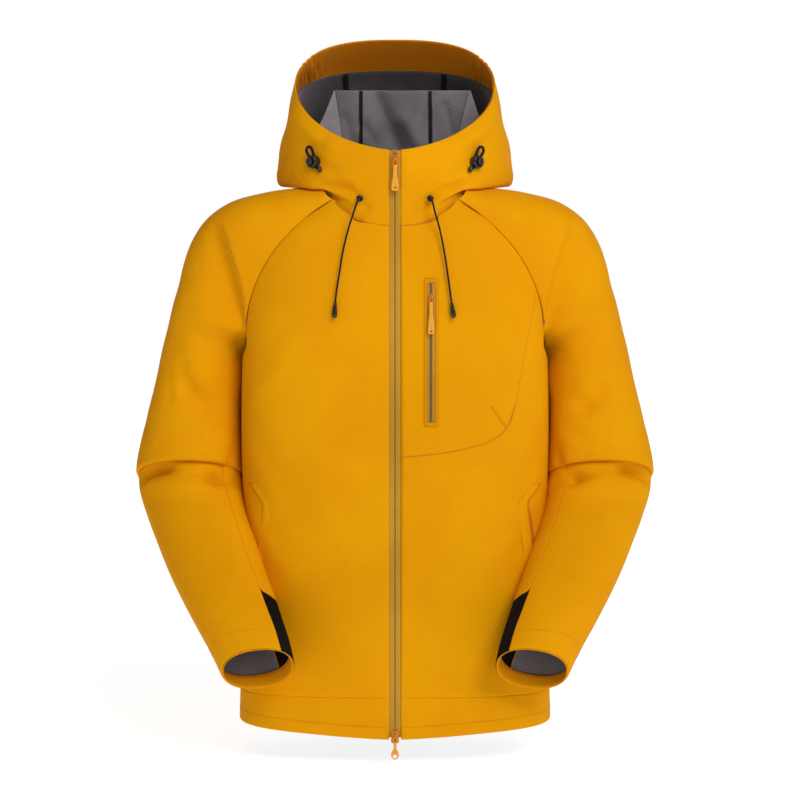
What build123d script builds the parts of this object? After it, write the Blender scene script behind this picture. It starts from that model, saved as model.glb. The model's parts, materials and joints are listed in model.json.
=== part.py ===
from build123d import *
import os

import numpy as np

# A hooded softshell ski jacket, standing filled out as it is worn. Millimetres, +Z up, front towards -Y.
# The shape is drawn with z = 0 at the front hem, then moved so that the hanger loop is the origin.

# ---- driving dimensions ----
CLOTH = 2.0                 # thickness of the bonded fabric
SEAM = 0.8                  # gap kept along each seam edge
FRONT_Y = -122.0            # plane of the zip, straight from hem to chin
ZIP_HALF_GAP = 9.5          # from the zip's middle to a front panel's edge
HEM_TOP = 58.0              # height of the hem band's seam
UNDERARM_Z = 520.0
TAPE_TOP = 806.0
HANGER = (0.0, 77.5, 752.0)

# Body cross-section by height: z, half width, front depth, back depth, squareness
BODY = np.array([
    (-20, 220, 122, 122, 2.7), (60, 219, 122, 121, 2.7), (300, 210, 122, 114, 2.8), (400, 207, 122, 116, 3.0),
    (530, 208, 122, 125, 3.2), (660, 208, 122, 122, 3.2), (700, 191, 122, 112, 2.8), (740, 131, 122, 99, 2.5),
    (775, 112, 122, 92, 2.4),
])

# Where the raglan seams lie, from the armhole up to the neck: x, z on the front, x, z on the back
RAGLAN_FRONT = [(207, 545), (206, 570), (204, 595), (195, 620), (181, 648), (165, 671), (141, 697),
                (117, 719), (85, 739)]
RAGLAN_BACK = [(207, 545), (206, 572), (204, 600), (195, 627), (182, 657), (163, 687), (138, 712),
               (108, 735), (70, 752)]
SHOULDER_TOP = [(295, 655), (285, 683), (266, 711), (232, 736), (182, 752), (104, 762)]
SEAM_ROWS = [HEM_TOP, 120, 190, 260, 330, 400, 460, UNDERARM_Z - 6]
SIDE_FRONT_Y = -26.0
SIDE_BACK_Y = 52.0
CHEST_SEAM = [(ZIP_HALF_GAP, 388), (60, 394), (103, 402), (134, 413), (154, 430), (165, 452), (172, 490),
              (181, 540), (189, 580), (195, 620)]

# Sleeve rings, top to wrist: inner x, z; outer x, z; depth half width; middle y; tilt in degrees
UPPER_RINGS = [
    (212, 548, 253, 694, 58, 2, 0), (212, 540, 281, 665, 61, 2, 0), (213, 532, 295, 628, 63, 2, 0),
    (213, 520, 294, 591, 65, 3, 0), (213, 504, 324, 551, 68, 5, 0), (213, 478, 334, 510, 69, 7, 0),
    (214, 430, 350, 446, 68, 8, 0), (215, 388, 361, 396, 66, 6, 16), (216, 352, 365, 352, 68, 2, 29),
]
FOREARM_RINGS = [
    (221, 352, 356, 352, 50, 2, 37), (217, 316, 360, 328, 51, -22, 38), (211, 286, 350, 298, 51, -46, 38),
    (199, 254, 334, 264, 50, -74, 38), (184, 218, 316, 230, 49, -102, 39), (168, 184, 295, 196, 48, -128, 40),
    (153, 150, 271, 160, 47, -150, 42), (139, 116, 243, 116, 46, -168, 45), (135, 104, 236, 100, 46, -173, 46),
]

# Hood rings, neck seam up to the rim: half width, front y, back y, z at front, side and back
HOOD_RINGS = {
    "neck": (98, 92, 703, 762, 752), "under": (118, 114, 724, 792, 782), "fold": (163, 184, 742, 788, 790),
    "bulge": (168, 192, 758, 800, 818), "middle": (158, 166, 782, 850, 888), "brow": (149, 122, 797, 884, 948),
    "rim": (141, 82, 808, 902, 976),
}
COLLAR_EDGE = 34.0          # degrees round the neck from the zip to the end of the collar front
HOOD_SEAM = 84.0            # degrees to the seam between hood side and crown
STAND_PLAN = [(-88, 0), (-97, 52), (-60, 58), (0, 60), (60, 58), (97, 52), (88, 0)]
STAND_HEIGHTS = (814.0, 860.0, 902.0)
BAND_LIFTS = (4.0, 11.0, 18.0)                      # neck band rows above the neck seam

# Zips
TEETH_GAP = 0.8
TEETH_WIDTH = 2.8
TEETH_DEPTH = 3.0
MAIN_ZIP = (2.0, 803.0)
CHEST_X = 49.0
CHEST_ZIP = (434.0, 628.0)
TOP_SLIDER_Z = 791.0
LOWER_SLIDER_Z = 4.0
CHEST_SLIDER_Z = 605.0
STORM_FLAP = (24, 20, 795)                          # half width, foot, top

# Hand pockets: middle x and z, lean in degrees, length of the opening, and the bag behind it
POCKET_X = 178.0
POCKET_Z = 262.0
POCKET_LEAN = 4.0
POCKET_LENGTH = 150.0
POCKET_BAG = (82, 190, 150, 348)
CHEST_BAG = (30, 150, 440, 600)

# Drawcords: routes from eyelet to moulded end, right side of the wearer; the left is its own route
CORD_RADIUS = 1.3
CORD_RIGHT = [(-48, -121, 741), (-50, -136, 739), (-56, -138, 720), (-63, -129, 700), (-71, -127, 668),
              (-76, -127, 634), (-80, -126, 612), (-81, -126, 598)]
CORD_LEFT = [(48, -121, 741), (50, -136, 739), (54, -138, 720), (60, -129, 702), (67, -127, 668),
             (72, -127, 634), (75, -126, 612), (77, -126, 598)]
LOCK_DEGREES = 45.0
EYELET = (48, 740)

os.makedirs("parts", exist_ok=True)


# ---- helpers ----
def save(name, *solids):
    """Write one named piece in the jacket's own frame."""
    shape = solids[0] if len(solids) == 1 else Compound(children=list(solids))
    shape = shape.moved(Location((-HANGER[0], -HANGER[1], -HANGER[2])))
    export_step(shape, f"parts/{name}.step")


def flipped(points):
    """Mirror points to the other side of the jacket."""
    return np.asarray(points, float) * (-1, 1, 1)


def placed(grid, side):
    return grid if side > 0 else flipped(grid)


def normals(grid, ring):
    along = np.gradient(grid, axis=0)
    if ring:
        across = np.roll(grid, -1, axis=1) - np.roll(grid, 1, axis=1)
    else:
        across = np.gradient(grid, axis=1)
    normal = np.cross(across, along)
    return normal / np.linalg.norm(normal, axis=2, keepdims=True)


def triangles(first, second, closed=False):
    """Flat faces between two rows of points."""
    faces = []
    count = len(first) if closed else len(first) - 1
    for k in range(count):
        n = (k + 1) % len(first)
        for corner in ((first[k], first[n], second[n]), (first[k], second[n], second[k])):
            faces.append(Face(Wire.make_polygon([Vector(*p) for p in corner], close=True)))
    return faces


def sheet(grid, side=1, ring=False, thickness=CLOTH, seam=SEAM):
    """A cloth panel: the grid is its outer face; side is -1 where the grid runs the mirrored way round."""
    outer = np.array(grid, float)
    for row, nxt in ((0, 1), (-1, -2)):
        step = outer[nxt] - outer[row]
        outer[row] += step * seam / np.linalg.norm(step, axis=1, keepdims=True)
    if not ring:
        for col, nxt in ((0, 1), (-1, -2)):
            step = outer[:, nxt] - outer[:, col]
            outer[:, col] += step * seam / np.linalg.norm(step, axis=1, keepdims=True)
    inner = outer - side * thickness * normals(outer, ring)
    faces = []
    for skin in (outer, inner):
        for k in range(len(skin) - 1):
            faces += triangles(skin[k], skin[k + 1], ring)
    faces += triangles(outer[0], inner[0], ring) + triangles(outer[-1], inner[-1], ring)
    if not ring:
        faces += triangles(outer[:, 0], inner[:, 0]) + triangles(outer[:, -1], inner[:, -1])
    return Solid(Shell(faces))


def body_point(u, z, inset=0.0):
    """A point on the body: u runs from the front middle, 0, round the wearer's left to the back, 1."""
    width, front, back, square = (np.interp(z, BODY[:, 0], BODY[:, k]) for k in (1, 2, 3, 4))
    turn = np.linspace(-np.pi / 2, np.pi / 2, 361)
    x = (width - inset) * np.abs(np.cos(turn)) ** (2 / square)
    depth = np.where(turn < 0, front - inset, back - inset)
    y = depth * np.sign(turn) * np.abs(np.sin(turn)) ** (2 / square)
    run = np.concatenate(([0], np.cumsum(np.hypot(np.diff(x), np.diff(y)))))
    run /= run[-1]
    side = -1 if u < 0 else 1
    return np.array([side * np.interp(abs(u), run, x), np.interp(abs(u), run, y), z])


def body_u(x, z, back=False):
    """The u of the point at width x on the body's front or back."""
    us = np.linspace(0, 0.5, 251) if not back else np.linspace(1, 0.5, 251)
    xs = [body_point(u, z)[0] for u in us]
    return float(np.interp(x, xs, us))


def side_u(y, z):
    us = np.linspace(0.3, 0.7, 201)
    return float(np.interp(y, [body_point(u, z)[1] for u in us], us))


def coons(bottom, top, left, right):
    """Fill four boundary rows of (u, z) with a smooth patch; the rows share their corners."""
    bottom, top, left, right = (np.asarray(b, float) for b in (bottom, top, left, right))
    s = np.linspace(0, 1, len(bottom))[None, :, None]
    t = np.linspace(0, 1, len(left))[:, None, None]
    ruled = (1 - t) * bottom[None] + t * top[None] + (1 - s) * left[:, None] + s * right[:, None]
    corners = ((1 - s) * (1 - t) * bottom[0] + s * (1 - t) * bottom[-1]
               + (1 - s) * t * top[0] + s * t * top[-1])
    return ruled - corners


def body_grid(patch, inset=0.0):
    return np.array([[body_point(u, z, inset) for u, z in row] for row in patch])


def resample(points, count):
    points = np.asarray(points, float)
    run = np.concatenate(([0], np.cumsum(np.linalg.norm(np.diff(points, axis=0), axis=1))))
    at = np.linspace(0, run[-1], count)
    return np.column_stack([np.interp(at, run, points[:, k]) for k in range(points.shape[1])])


def front_uz(points):
    return [(body_u(x, z), z) for x, z in points]


def hem_bottom(u):
    """The hem is lowest at the front and back middles."""
    return 13.0 * np.sin(np.pi * abs(u)) ** 2


# ---- body panels ----
NECK_FRONT = [(ZIP_HALF_GAP, 703), (30, 705.5), (60, 718), (85, 739)]
side_front = [(side_u(SIDE_FRONT_Y, z), z) for z in SEAM_ROWS]
side_back = [(side_u(SIDE_BACK_Y, z), z) for z in SEAM_ROWS]
raglan_front = front_uz(RAGLAN_FRONT)
raglan_back = [(body_u(x, z, back=True), z) for x, z in RAGLAN_BACK]


def front_right_grid():
    outer = side_front + raglan_front
    inner = [(body_u(ZIP_HALF_GAP, z), z) for z in np.interp(
        np.arange(len(outer)), (0, len(outer) - 1), (HEM_TOP, NECK_FRONT[0][1]))]
    bottom = resample([inner[0], outer[0]], 9)
    top = resample(front_uz(NECK_FRONT), 9)
    top[0], top[-1] = inner[-1], outer[-1]
    return body_grid(coons(bottom, top, inner, outer))


def chest_grids():
    """The left front is a chest panel over a lower panel, parted by a seam that curves up to the armhole."""
    seam = front_uz(CHEST_SEAM)
    upper_side = raglan_front[3:]
    zip_edge = body_u(ZIP_HALF_GAP, 500)
    upper_zip = [(zip_edge, z) for z in np.linspace(CHEST_SEAM[0][1], NECK_FRONT[0][1], len(upper_side))]
    top = resample(front_uz(NECK_FRONT), len(seam))
    top[0], top[-1] = upper_zip[-1], upper_side[-1]
    chest = coons(seam, top, upper_zip, upper_side)
    lower_side = side_front + raglan_front[:4]
    lower_zip = [(zip_edge, z) for z in np.linspace(HEM_TOP, CHEST_SEAM[0][1], len(lower_side))]
    bottom = resample([lower_zip[0], lower_side[0]], len(seam))
    lower = coons(bottom, seam, lower_zip, lower_side)
    return body_grid(chest), body_grid(lower)


def hand_pocket_slot(side):
    """The slanted opening of a hand pocket, cut through a front panel."""
    slot = Box(7, 90, POCKET_LENGTH)
    return slot.moved(Location((side * POCKET_X, -85, POCKET_Z), (0, side * POCKET_LEAN, 0)))


right_front = flipped(front_right_grid())
save("front_panel_right", sheet(right_front, -1) - hand_pocket_slot(-1))
chest, lower = chest_grids()
chest_window = Box(15, 30, CHEST_ZIP[1] - CHEST_ZIP[0] + 8).moved(
    Location((CHEST_X, FRONT_Y, sum(CHEST_ZIP) / 2)))
save("chest_panel_left", sheet(chest) - chest_window)
save("front_panel_left", sheet(lower) - hand_pocket_slot(1))

for name, side in (("right", -1), ("left", 1)):
    rows = []
    for k, z in enumerate(SEAM_ROWS):
        us = np.linspace(side_front[k][0], side_back[k][0], 5)
        dip = 14.0 * np.sin(np.linspace(0, np.pi, 5)) if k == len(SEAM_ROWS) - 1 else np.zeros(5)
        rows.append([body_point(side * u, z - d) for u, d in zip(us, dip)])
    save(f"side_panel_{name}", sheet(rows, side))

back_edge = side_back + raglan_back
back_top = resample(raglan_back[-1:] + [(0.93, 747), (1.0, 746)], 7)
half_bottom = resample([side_back[0], (1.0, HEM_TOP)], 7)
half_middle = [(1.0, z) for z in np.linspace(HEM_TOP, 746, len(back_edge))]
half_back = body_grid(coons(half_bottom, back_top, back_edge, half_middle))
whole_back = np.concatenate((half_back, flipped(half_back[:, :-1])[:, ::-1]), axis=1)
save("back_panel", sheet(whole_back))


def hem_grid(u_from, u_to, count):
    us = np.linspace(u_from, u_to, count)
    edge = [body_point(u, hem_bottom(u)) for u in us]
    middle = [body_point(u, 30.0) for u in us]
    top = [body_point(u, HEM_TOP) for u in us]
    return [edge, middle, top]


zip_u = body_u(ZIP_HALF_GAP, 30)
side_mid = 0.5 * (side_front[0][0] + side_back[0][0])
save("hem_band_front_left", sheet(hem_grid(zip_u, side_mid, 10)))
save("hem_band_front_right", sheet(hem_grid(-zip_u, -side_mid, 10), -1))
hem_back = np.array(hem_grid(side_mid, 1.0, 9))
save("hem_band_back", sheet(np.concatenate((hem_back, flipped(hem_back[:, :-1])[:, ::-1]), axis=1)))


def shoulder_grid():
    """The top of the raglan sleeve: arches from the front seam over the shoulder to the back seam."""
    rows = []
    for (xf, zf), (xb, zb), (xt, zt) in zip(RAGLAN_FRONT[3:], RAGLAN_BACK[3:], SHOULDER_TOP):
        front = body_point(body_u(xf, zf), zf)
        back = body_point(body_u(xb, zb, back=True), zb)
        crown = np.array([xt, (front[1] + back[1]) / 2, zt])
        row = []
        for turn in np.linspace(0, np.pi, 13):
            across = (1 - np.sign(np.cos(turn)) * abs(np.cos(turn)) ** 0.72) / 2
            lift = abs(np.sin(turn)) ** 0.72
            base = front + (back - front) * across
            raised = base + (crown - base) * lift
            row.append([raised[0], base[1], raised[2]])
        rows.append(row)
    return np.array(rows)


for name, side in (("right", -1), ("left", 1)):
    save(f"shoulder_panel_{name}", sheet(placed(shoulder_grid(), side), side, seam=1.2))


# ---- hood and collar ----
def hood_point(ring, degrees, inset=0.0):
    """A point on a hood ring; 0 degrees is the zip, 180 the back middle, positive on the wearer's left."""
    width, back, z_front, z_side, z_back = HOOD_RINGS[ring]
    turn = np.radians(degrees)
    middle = (back + FRONT_Y) / 2
    reach = (back - FRONT_Y) / 2
    x = np.sign(np.sin(turn)) * (width - inset) * abs(np.sin(turn)) ** 0.85
    y = middle - (reach - inset) * np.sign(np.cos(turn)) * abs(np.cos(turn)) ** 0.85
    mean = (z_front + z_back) / 2
    z = (mean + z_side) / 2 + (z_front - z_back) / 2 * np.cos(turn) + (mean - z_side) / 2 * np.cos(2 * turn)
    return np.array([x, y, z])


def collar_point(ring, degrees, inset=0.0):
    """Near the zip the rings lie on one straight wall from the neck seam to the rim."""
    steps = list(HOOD_RINGS)
    share = steps.index(ring) / (len(steps) - 1)
    straight = hood_point("neck", degrees, inset) * (1 - share) + hood_point("rim", degrees, inset) * share
    away = np.clip((abs(degrees) - 22) / 36, 0, 1)
    away = away * away * (3 - 2 * away)
    return straight * (1 - away) + hood_point(ring, degrees, inset) * away


def hood_grid(rings, start, end, count, inset=0.0):
    return np.array([[collar_point(r, d, inset) for d in np.linspace(start, end, count)] for r in rings])


def trim_zip(grid, side):
    grid[:, 0, 0] = side * ZIP_HALF_GAP
    return grid


ALL_RINGS = list(HOOD_RINGS)
for name, side in (("right", -1), ("left", 1)):
    collar = trim_zip(hood_grid(ALL_RINGS, side * 5, side * COLLAR_EDGE, 6), side)
    save(f"collar_front_{name}", sheet(collar, side, seam=1.5))
    wall = hood_grid(ALL_RINGS[1:], side * (COLLAR_EDGE + 5), side * HOOD_SEAM, 6)
    wall[0] = wall[0] * 0.5 + wall[1] * 0.5
    save(f"hood_side_{name}", sheet(wall, side, seam=1.0))
crown_wall = hood_grid(ALL_RINGS[1:], HOOD_SEAM, 360 - HOOD_SEAM, 17)
crown_wall[0] = crown_wall[0] * 0.5 + crown_wall[1] * 0.5
save("hood_crown", sheet(crown_wall, seam=1.0))

facing = hood_grid(["brow", "rim"], COLLAR_EDGE + 6, 360 - COLLAR_EDGE - 6, 21, 5.0)
facing[1, :, 2] -= 1.0
facing = np.array([facing[0], (facing[0] + facing[1]) / 2, facing[1]])
save("hood_facing", sheet(facing, 1, thickness=1.2))
lining = hood_grid(["bulge", "middle", "brow"], COLLAR_EDGE + 8, 360 - COLLAR_EDGE - 8, 21, 7.0)
lining[2] = lining[2] * 0.85 + lining[1] * 0.15
save("hood_lining", sheet(lining, 1, thickness=1.2))

# The lining's own fold stands up inside the hood, behind the neck, as a wall with two turned-back sides
stand = np.array([[(x, y, z) for x, y in STAND_PLAN] for z in STAND_HEIGHTS], float)
for row, spread in zip(stand, (0.93, 0.97, 1.0)):
    for corner in (row[0], row[-1]):
        corner += (0, 20 - 40 * (1 - spread), -22)
        corner[0] *= spread
save("hood_inner_stand", sheet(stand, 1, thickness=1.6))

band_degrees = np.linspace(COLLAR_EDGE + 12, 348 - COLLAR_EDGE, 17)
band = [[hood_point("neck", degrees, 3.0) + (0, 0, lift) for degrees in band_degrees] for lift in BAND_LIFTS]
save("neck_band", sheet(band, 1))

loop_y = HANGER[1]
loop_z = HANGER[2]
loop_path = FilletPolyline((-22, loop_y + 10.5, loop_z + 7), (-22, loop_y, loop_z), (22, loop_y, loop_z),
                           (22, loop_y + 10.5, loop_z + 7), radius=3)
loop = sweep(Plane(loop_path @ 0, z_dir=loop_path % 0) * Circle(1.5), loop_path)
save("hanger_loop", loop)


# ---- sleeves ----
def ring_points(row, degrees, inset=0.0):
    """Points round one sleeve ring; 0 is the outer edge, 90 the front, 180 the inner edge."""
    xi, zi, xo, zo, depth, y, tilt = row
    middle = np.array([(xi + xo) / 2, y, (zi + zo) / 2])
    reach = np.array([(xo - xi) / 2, 0, (zo - zi) / 2])
    reach *= 1 - inset / np.linalg.norm(reach)
    front = (depth - inset) * np.array([0, -np.cos(np.radians(tilt)), np.sin(np.radians(tilt))])
    turns = np.radians(degrees)
    return np.array([middle + reach * np.cos(a) + front * np.sin(a) for a in turns])


def sleeve_grid(rings, degrees, inset=0.0):
    return np.array([ring_points(row, degrees, inset) for row in rings])


ROUND = np.arange(0, 360, 18)
FRONT_SEAM = 128.0          # degrees to the seam between forearm panel and under panel
BACK_SEAM = 232.0
GUSSET_TOP = 5              # ring where the cuff gusset starts

OUTSIDE = np.linspace(FRONT_SEAM, BACK_SEAM - 360, 14)
UNDERSIDE = np.linspace(BACK_SEAM, FRONT_SEAM, 6)


for name, side in (("right", -1), ("left", 1)):
    upper = placed(sleeve_grid(UPPER_RINGS, ROUND), side)
    save(f"sleeve_upper_{name}", sheet(upper, side, ring=True))
    outer = placed(sleeve_grid(FOREARM_RINGS, OUTSIDE), side)
    save(f"forearm_panel_{name}", sheet(outer, -side))
    under = placed(sleeve_grid(FOREARM_RINGS[:GUSSET_TOP + 1], UNDERSIDE), side)
    save(f"forearm_under_panel_{name}", sheet(under, -side))
    gusset = placed(sleeve_grid(FOREARM_RINGS[GUSSET_TOP:], UNDERSIDE), side)
    save(f"cuff_gusset_{name}", sheet(gusset, -side))
    cuff_wall = sleeve_grid(FOREARM_RINGS[-2:], ROUND, 4.0)
    cuff_wall = np.array([cuff_wall[0] * 2 - cuff_wall[1], cuff_wall[0], cuff_wall[1]])
    save(f"cuff_facing_{name}", sheet(placed(cuff_wall, side), side, ring=True, thickness=1.2))


# ---- zips ----
def strip(x_from, x_to, y_from, y_to, z_from, z_to):
    size = (abs(x_to - x_from), y_to - y_from, z_to - z_from)
    return Box(*size).moved(Location(((x_from + x_to) / 2, (y_from + y_to) / 2, (z_from + z_to) / 2)))


TEETH_Y = FRONT_Y + 0.2
for name, side in (("right", -1), ("left", 1)):
    edge = side * (TEETH_GAP + TEETH_WIDTH)
    save(f"zip_tape_{name}", strip(edge + side * 0.1, side * 12.5, FRONT_Y + 2.6, FRONT_Y + 3.6, 4, TAPE_TOP))
    save(f"zip_teeth_{name}", strip(side * TEETH_GAP, edge, TEETH_Y, TEETH_Y + TEETH_DEPTH + 0.4, *MAIN_ZIP))
stops = [strip(side * 1.0, side * 3.6, TEETH_Y, TEETH_Y + TEETH_DEPTH, z, z + 5)
         for side in (-1, 1) for z in (MAIN_ZIP[1] + 0.2, MAIN_ZIP[0] - 5.2)]
save("zip_stops", *stops)
save("storm_flap", strip(-STORM_FLAP[0], STORM_FLAP[0], FRONT_Y + 12, FRONT_Y + 13.5, *STORM_FLAP[1:]))


def slider(z, x=0.0, scale=1.0, up=1):
    """Two plates joined by a thin post, with a bail on the front that carries the pull."""
    width, length = 11.0 * scale, 17.0 * scale
    front = TEETH_Y - 0.6
    back = TEETH_Y + TEETH_DEPTH + 1.0
    plate = fillet(Box(width, 1.6, length).edges().filter_by(Axis.Y), 3.2 * scale)
    body = plate.moved(Location((x, front - 0.8, z))) + plate.moved(Location((x, back + 0.8, z)))
    body += strip(x - TEETH_GAP + 0.35, x + TEETH_GAP - 0.35, front - 1, back + 1,
                  z + min(0, up) * length / 2 + 1, z + max(0, up) * length / 2 - 1)
    reach = front - 1.6
    for s in (-1, 1):
        body += strip(x + s * 3.4 * scale, x + s * 1.9 * scale, reach - 4.8 * scale, reach + 0.4,
                      z - 3.5 * scale, z + 3.5 * scale)
    pin = Cylinder(1.0 * scale, 6.4 * scale, rotation=(0, 90, 0))
    return body + pin.moved(Location((x, reach - 3.0 * scale, z))), (x, reach - 3.0 * scale, z)


def pull(pivot, length, scale=1.0, hole=1.3, ring=0.0):
    """A moulded tab on a wire eye; it hangs straight down from the slider's bail."""
    x, y, z = pivot
    eye = Cylinder(3.0 * scale, 3.0 * scale, rotation=(0, 90, 0))
    eye -= Cylinder(1.45 * scale, 4 * scale, rotation=(0, 90, 0))
    body = eye.moved(Location((x, y, z)))
    reach = length - 2 * (ring + 2.2) - 1.0 if ring else length * 0.45
    neck = Box(3.0 * scale, 1.8 * scale, reach).moved(Location((x, y, z - 2.0 * scale - reach / 2)))
    tab = fillet(Box(8.6 * scale, 2.6 * scale, length * 0.62).edges().filter_by(Axis.Y), 3.4 * scale)
    tab = tab.moved(Location((x, y, z - length * 0.69)))
    if ring:
        tab = Cylinder(ring + 2.2, 2.6, rotation=(90, 0, 0)).moved(Location((x, y, z - length + ring + 2.2)))
    drill = Cylinder(ring or hole, 12, rotation=(90, 0, 0))
    depth = length - (ring + 2.2 if ring else 5.0 * scale)
    return body + neck + tab - drill.moved(Location((x, y, z - depth)))


slider_body, top_pivot = slider(TOP_SLIDER_Z)
save("main_slider", slider_body)
save("main_pull", pull(top_pivot, 42))
slider_body, low_pivot = slider(LOWER_SLIDER_Z, up=-1)
save("lower_slider", slider_body)
save("lower_pull", pull(low_pivot, 31, ring=3.0))
slider_body, chest_pivot = slider(CHEST_SLIDER_Z, CHEST_X, 0.85)
save("chest_slider", slider_body)
save("chest_pull", pull(chest_pivot, 50, 0.85))

chest_tapes = [strip(CHEST_X + s * 3.8, CHEST_X + s * 11.5, FRONT_Y + 3.2, FRONT_Y + 3.8, *CHEST_ZIP)
               for s in (-1, 1)]
save("chest_zip_tape", *chest_tapes)
save("chest_zip_teeth", *[strip(CHEST_X + s * TEETH_GAP, CHEST_X + s * 3.6, TEETH_Y, TEETH_Y + 3.2,
                                CHEST_ZIP[0] + 2, CHEST_ZIP[1] - 4) for s in (-1, 1)])
frame_height = CHEST_ZIP[1] - CHEST_ZIP[0] + 20
frame = Box(27, 0.8, frame_height) - Box(14.6, 2, frame_height - 12)
save("chest_zip_frame", frame.moved(Location((CHEST_X, FRONT_Y - 1.0, sum(CHEST_ZIP) / 2))))


def bag_grid(x_from, x_to, z_from, z_to, depth, edge=4.5):
    """A pocket bag: a dish of cloth behind a front panel, closest to it along its edges."""
    rows = []
    for t in np.linspace(0, 1, 7):
        row = []
        for s in np.linspace(0, 1, 8):
            x, z = x_from + (x_to - x_from) * s, z_from + (z_to - z_from) * t
            inset = edge + depth * min(1.0, 3 * np.sin(np.pi * s) * np.sin(np.pi * t))
            row.append(body_point(body_u(x, z), z, inset))
        rows.append(row)
    return np.array(rows)


save("chest_pocket_bag", sheet(bag_grid(*CHEST_BAG, 5.0, 9.5), thickness=1.2))
bag = bag_grid(*POCKET_BAG, 9.0)
save("hand_pocket_bags", sheet(bag, thickness=1.2), sheet(flipped(bag), -1, thickness=1.2))


def welt_grid():
    """The turned edge of a hand pocket, on the zip side of its opening and leaning with it."""
    rows = []
    for z in np.linspace(POCKET_Z - 82, POCKET_Z + 82, 7):
        x = POCKET_X + (z - POCKET_Z) * np.tan(np.radians(POCKET_LEAN))
        rows.append([body_point(body_u(x + dx, z), z, -1.4) for dx in (-18.0, -11.0, -5.0)])
    return np.array(rows)


save("hand_pocket_welts", sheet(welt_grid(), thickness=0.9, seam=0.2),
     sheet(flipped(welt_grid()), -1, thickness=0.9, seam=0.2))


# ---- drawcords and cord locks ----
def drawcord(name, route, end_name):
    """A cord with rounded turns along its route, and the moulded end it runs into."""
    points = [Vector(*p) for p in route]
    runs = [(b - a).length for a, b in zip(points, points[1:])]
    turns = [(b - a).get_angle(c - b) for a, b, c in zip(points, points[1:], points[2:])]
    radii = [0.45 * min(a, b) / np.tan(np.radians(turn / 2)) for a, b, turn in zip(runs, runs[1:], turns)]
    path = FilletPolyline(*points, radius=[min(r, 400.0) for r in radii])
    cord = sweep(Plane(path @ 0, z_dir=path % 0) * Circle(CORD_RADIUS), path)
    section = np.pi * CORD_RADIUS ** 2
    print(f"{name}: length {path.length:.1f}, radii {[round(float(r), 1) for r in radii]}, "
          f"volume over section {cord.volume / section:.1f}")
    save(name, cord)
    end, along = path @ 1, path % 1
    tip = Plane(end, z_dir=along)
    upright = (Align.CENTER, Align.CENTER, Align.MIN)
    barrel = tip * Cone(CORD_RADIUS + 0.6, CORD_RADIUS + 1.4, 14, align=upright)
    barrel += tip.offset(14) * Cylinder(CORD_RADIUS + 1.4, 6, align=upright)
    save(end_name, barrel)


drawcord("drawcord_right", CORD_RIGHT, "cord_end_right")
drawcord("drawcord_left", CORD_LEFT, "cord_end_left")


def wall_frame(degrees, height, side):
    """A plane on the hood wall that faces out of it."""
    here = collar_point("bulge", degrees) * (1 - height) + collar_point("middle", degrees) * height
    beside = collar_point("bulge", degrees + 2) * (1 - height) + collar_point("middle", degrees + 2) * height
    rise = collar_point("middle", degrees) - collar_point("bulge", degrees)
    across = beside - here
    out = np.cross(across, rise)
    mirror = np.array([side, 1, 1])
    return Plane(Vector(*(here * mirror)), x_dir=Vector(*(across * mirror)), z_dir=Vector(*(out * mirror)))


eyelets = []
for side in (-1, 1):
    ring = Cylinder(4.6, 1.0, rotation=(90, 0, 0)) - Cylinder(2.2, 3, rotation=(90, 0, 0))
    eyelets.append(ring.moved(Location((side * EYELET[0], FRONT_Y, EYELET[1]))))
save("drawcord_eyelets", *eyelets)

loops = []
for name, side in (("right", -1), ("left", 1)):
    plane = wall_frame(LOCK_DEGREES, 0.55, side)
    barrel = plane.offset(3.0) * Cylinder(7.0, 12, align=(Align.CENTER, Align.CENTER, Align.MIN))
    barrel -= plane.offset(7.0) * Cylinder(5.0, 10, align=(Align.CENTER, Align.CENTER, Align.MIN))
    save(f"cord_lock_body_{name}", barrel)
    button = plane.offset(11.0) * Cylinder(4.7, 7.5, align=(Align.CENTER, Align.CENTER, Align.MIN))
    save(f"cord_lock_button_{name}", button)
    loops.append(plane.offset(9.0) * Pos(0, 14.6) * Torus(6.0, CORD_RADIUS))
save("cord_lock_loops", *loops)
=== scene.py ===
import json
import math

import bpy
import numpy as np
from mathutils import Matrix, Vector


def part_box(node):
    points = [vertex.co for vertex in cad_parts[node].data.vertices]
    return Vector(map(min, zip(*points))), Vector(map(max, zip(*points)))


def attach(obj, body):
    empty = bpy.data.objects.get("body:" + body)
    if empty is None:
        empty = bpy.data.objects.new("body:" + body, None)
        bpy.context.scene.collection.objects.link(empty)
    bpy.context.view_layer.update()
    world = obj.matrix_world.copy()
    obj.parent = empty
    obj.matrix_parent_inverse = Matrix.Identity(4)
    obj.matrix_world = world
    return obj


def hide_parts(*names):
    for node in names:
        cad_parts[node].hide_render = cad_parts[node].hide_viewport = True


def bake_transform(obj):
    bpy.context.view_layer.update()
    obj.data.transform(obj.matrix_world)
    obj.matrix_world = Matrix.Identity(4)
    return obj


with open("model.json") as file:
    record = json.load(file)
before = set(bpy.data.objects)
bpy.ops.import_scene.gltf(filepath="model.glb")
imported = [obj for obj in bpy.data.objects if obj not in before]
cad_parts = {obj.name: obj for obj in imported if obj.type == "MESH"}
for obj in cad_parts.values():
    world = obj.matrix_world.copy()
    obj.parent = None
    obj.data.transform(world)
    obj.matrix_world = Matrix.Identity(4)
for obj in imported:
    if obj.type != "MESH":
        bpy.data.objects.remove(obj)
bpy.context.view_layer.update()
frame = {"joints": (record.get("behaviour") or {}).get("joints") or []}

# The shape is drawn in millimetres from the middle of the front hem, as it is cut; MM and SHIFT bring it
# into the frame, whose origin is the hanger loop. The left shoulder's hinge ties the two together.
MM = 0.001
SHOULDER_PIVOT = (196.0, 2.0, 612.0)
hinge = next(j for j in frame["joints"] if j["name"] == "shoulder_swing_left")
SHIFT = np.array(hinge["pos_m"]) - np.array(SHOULDER_PIVOT) * MM

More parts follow.
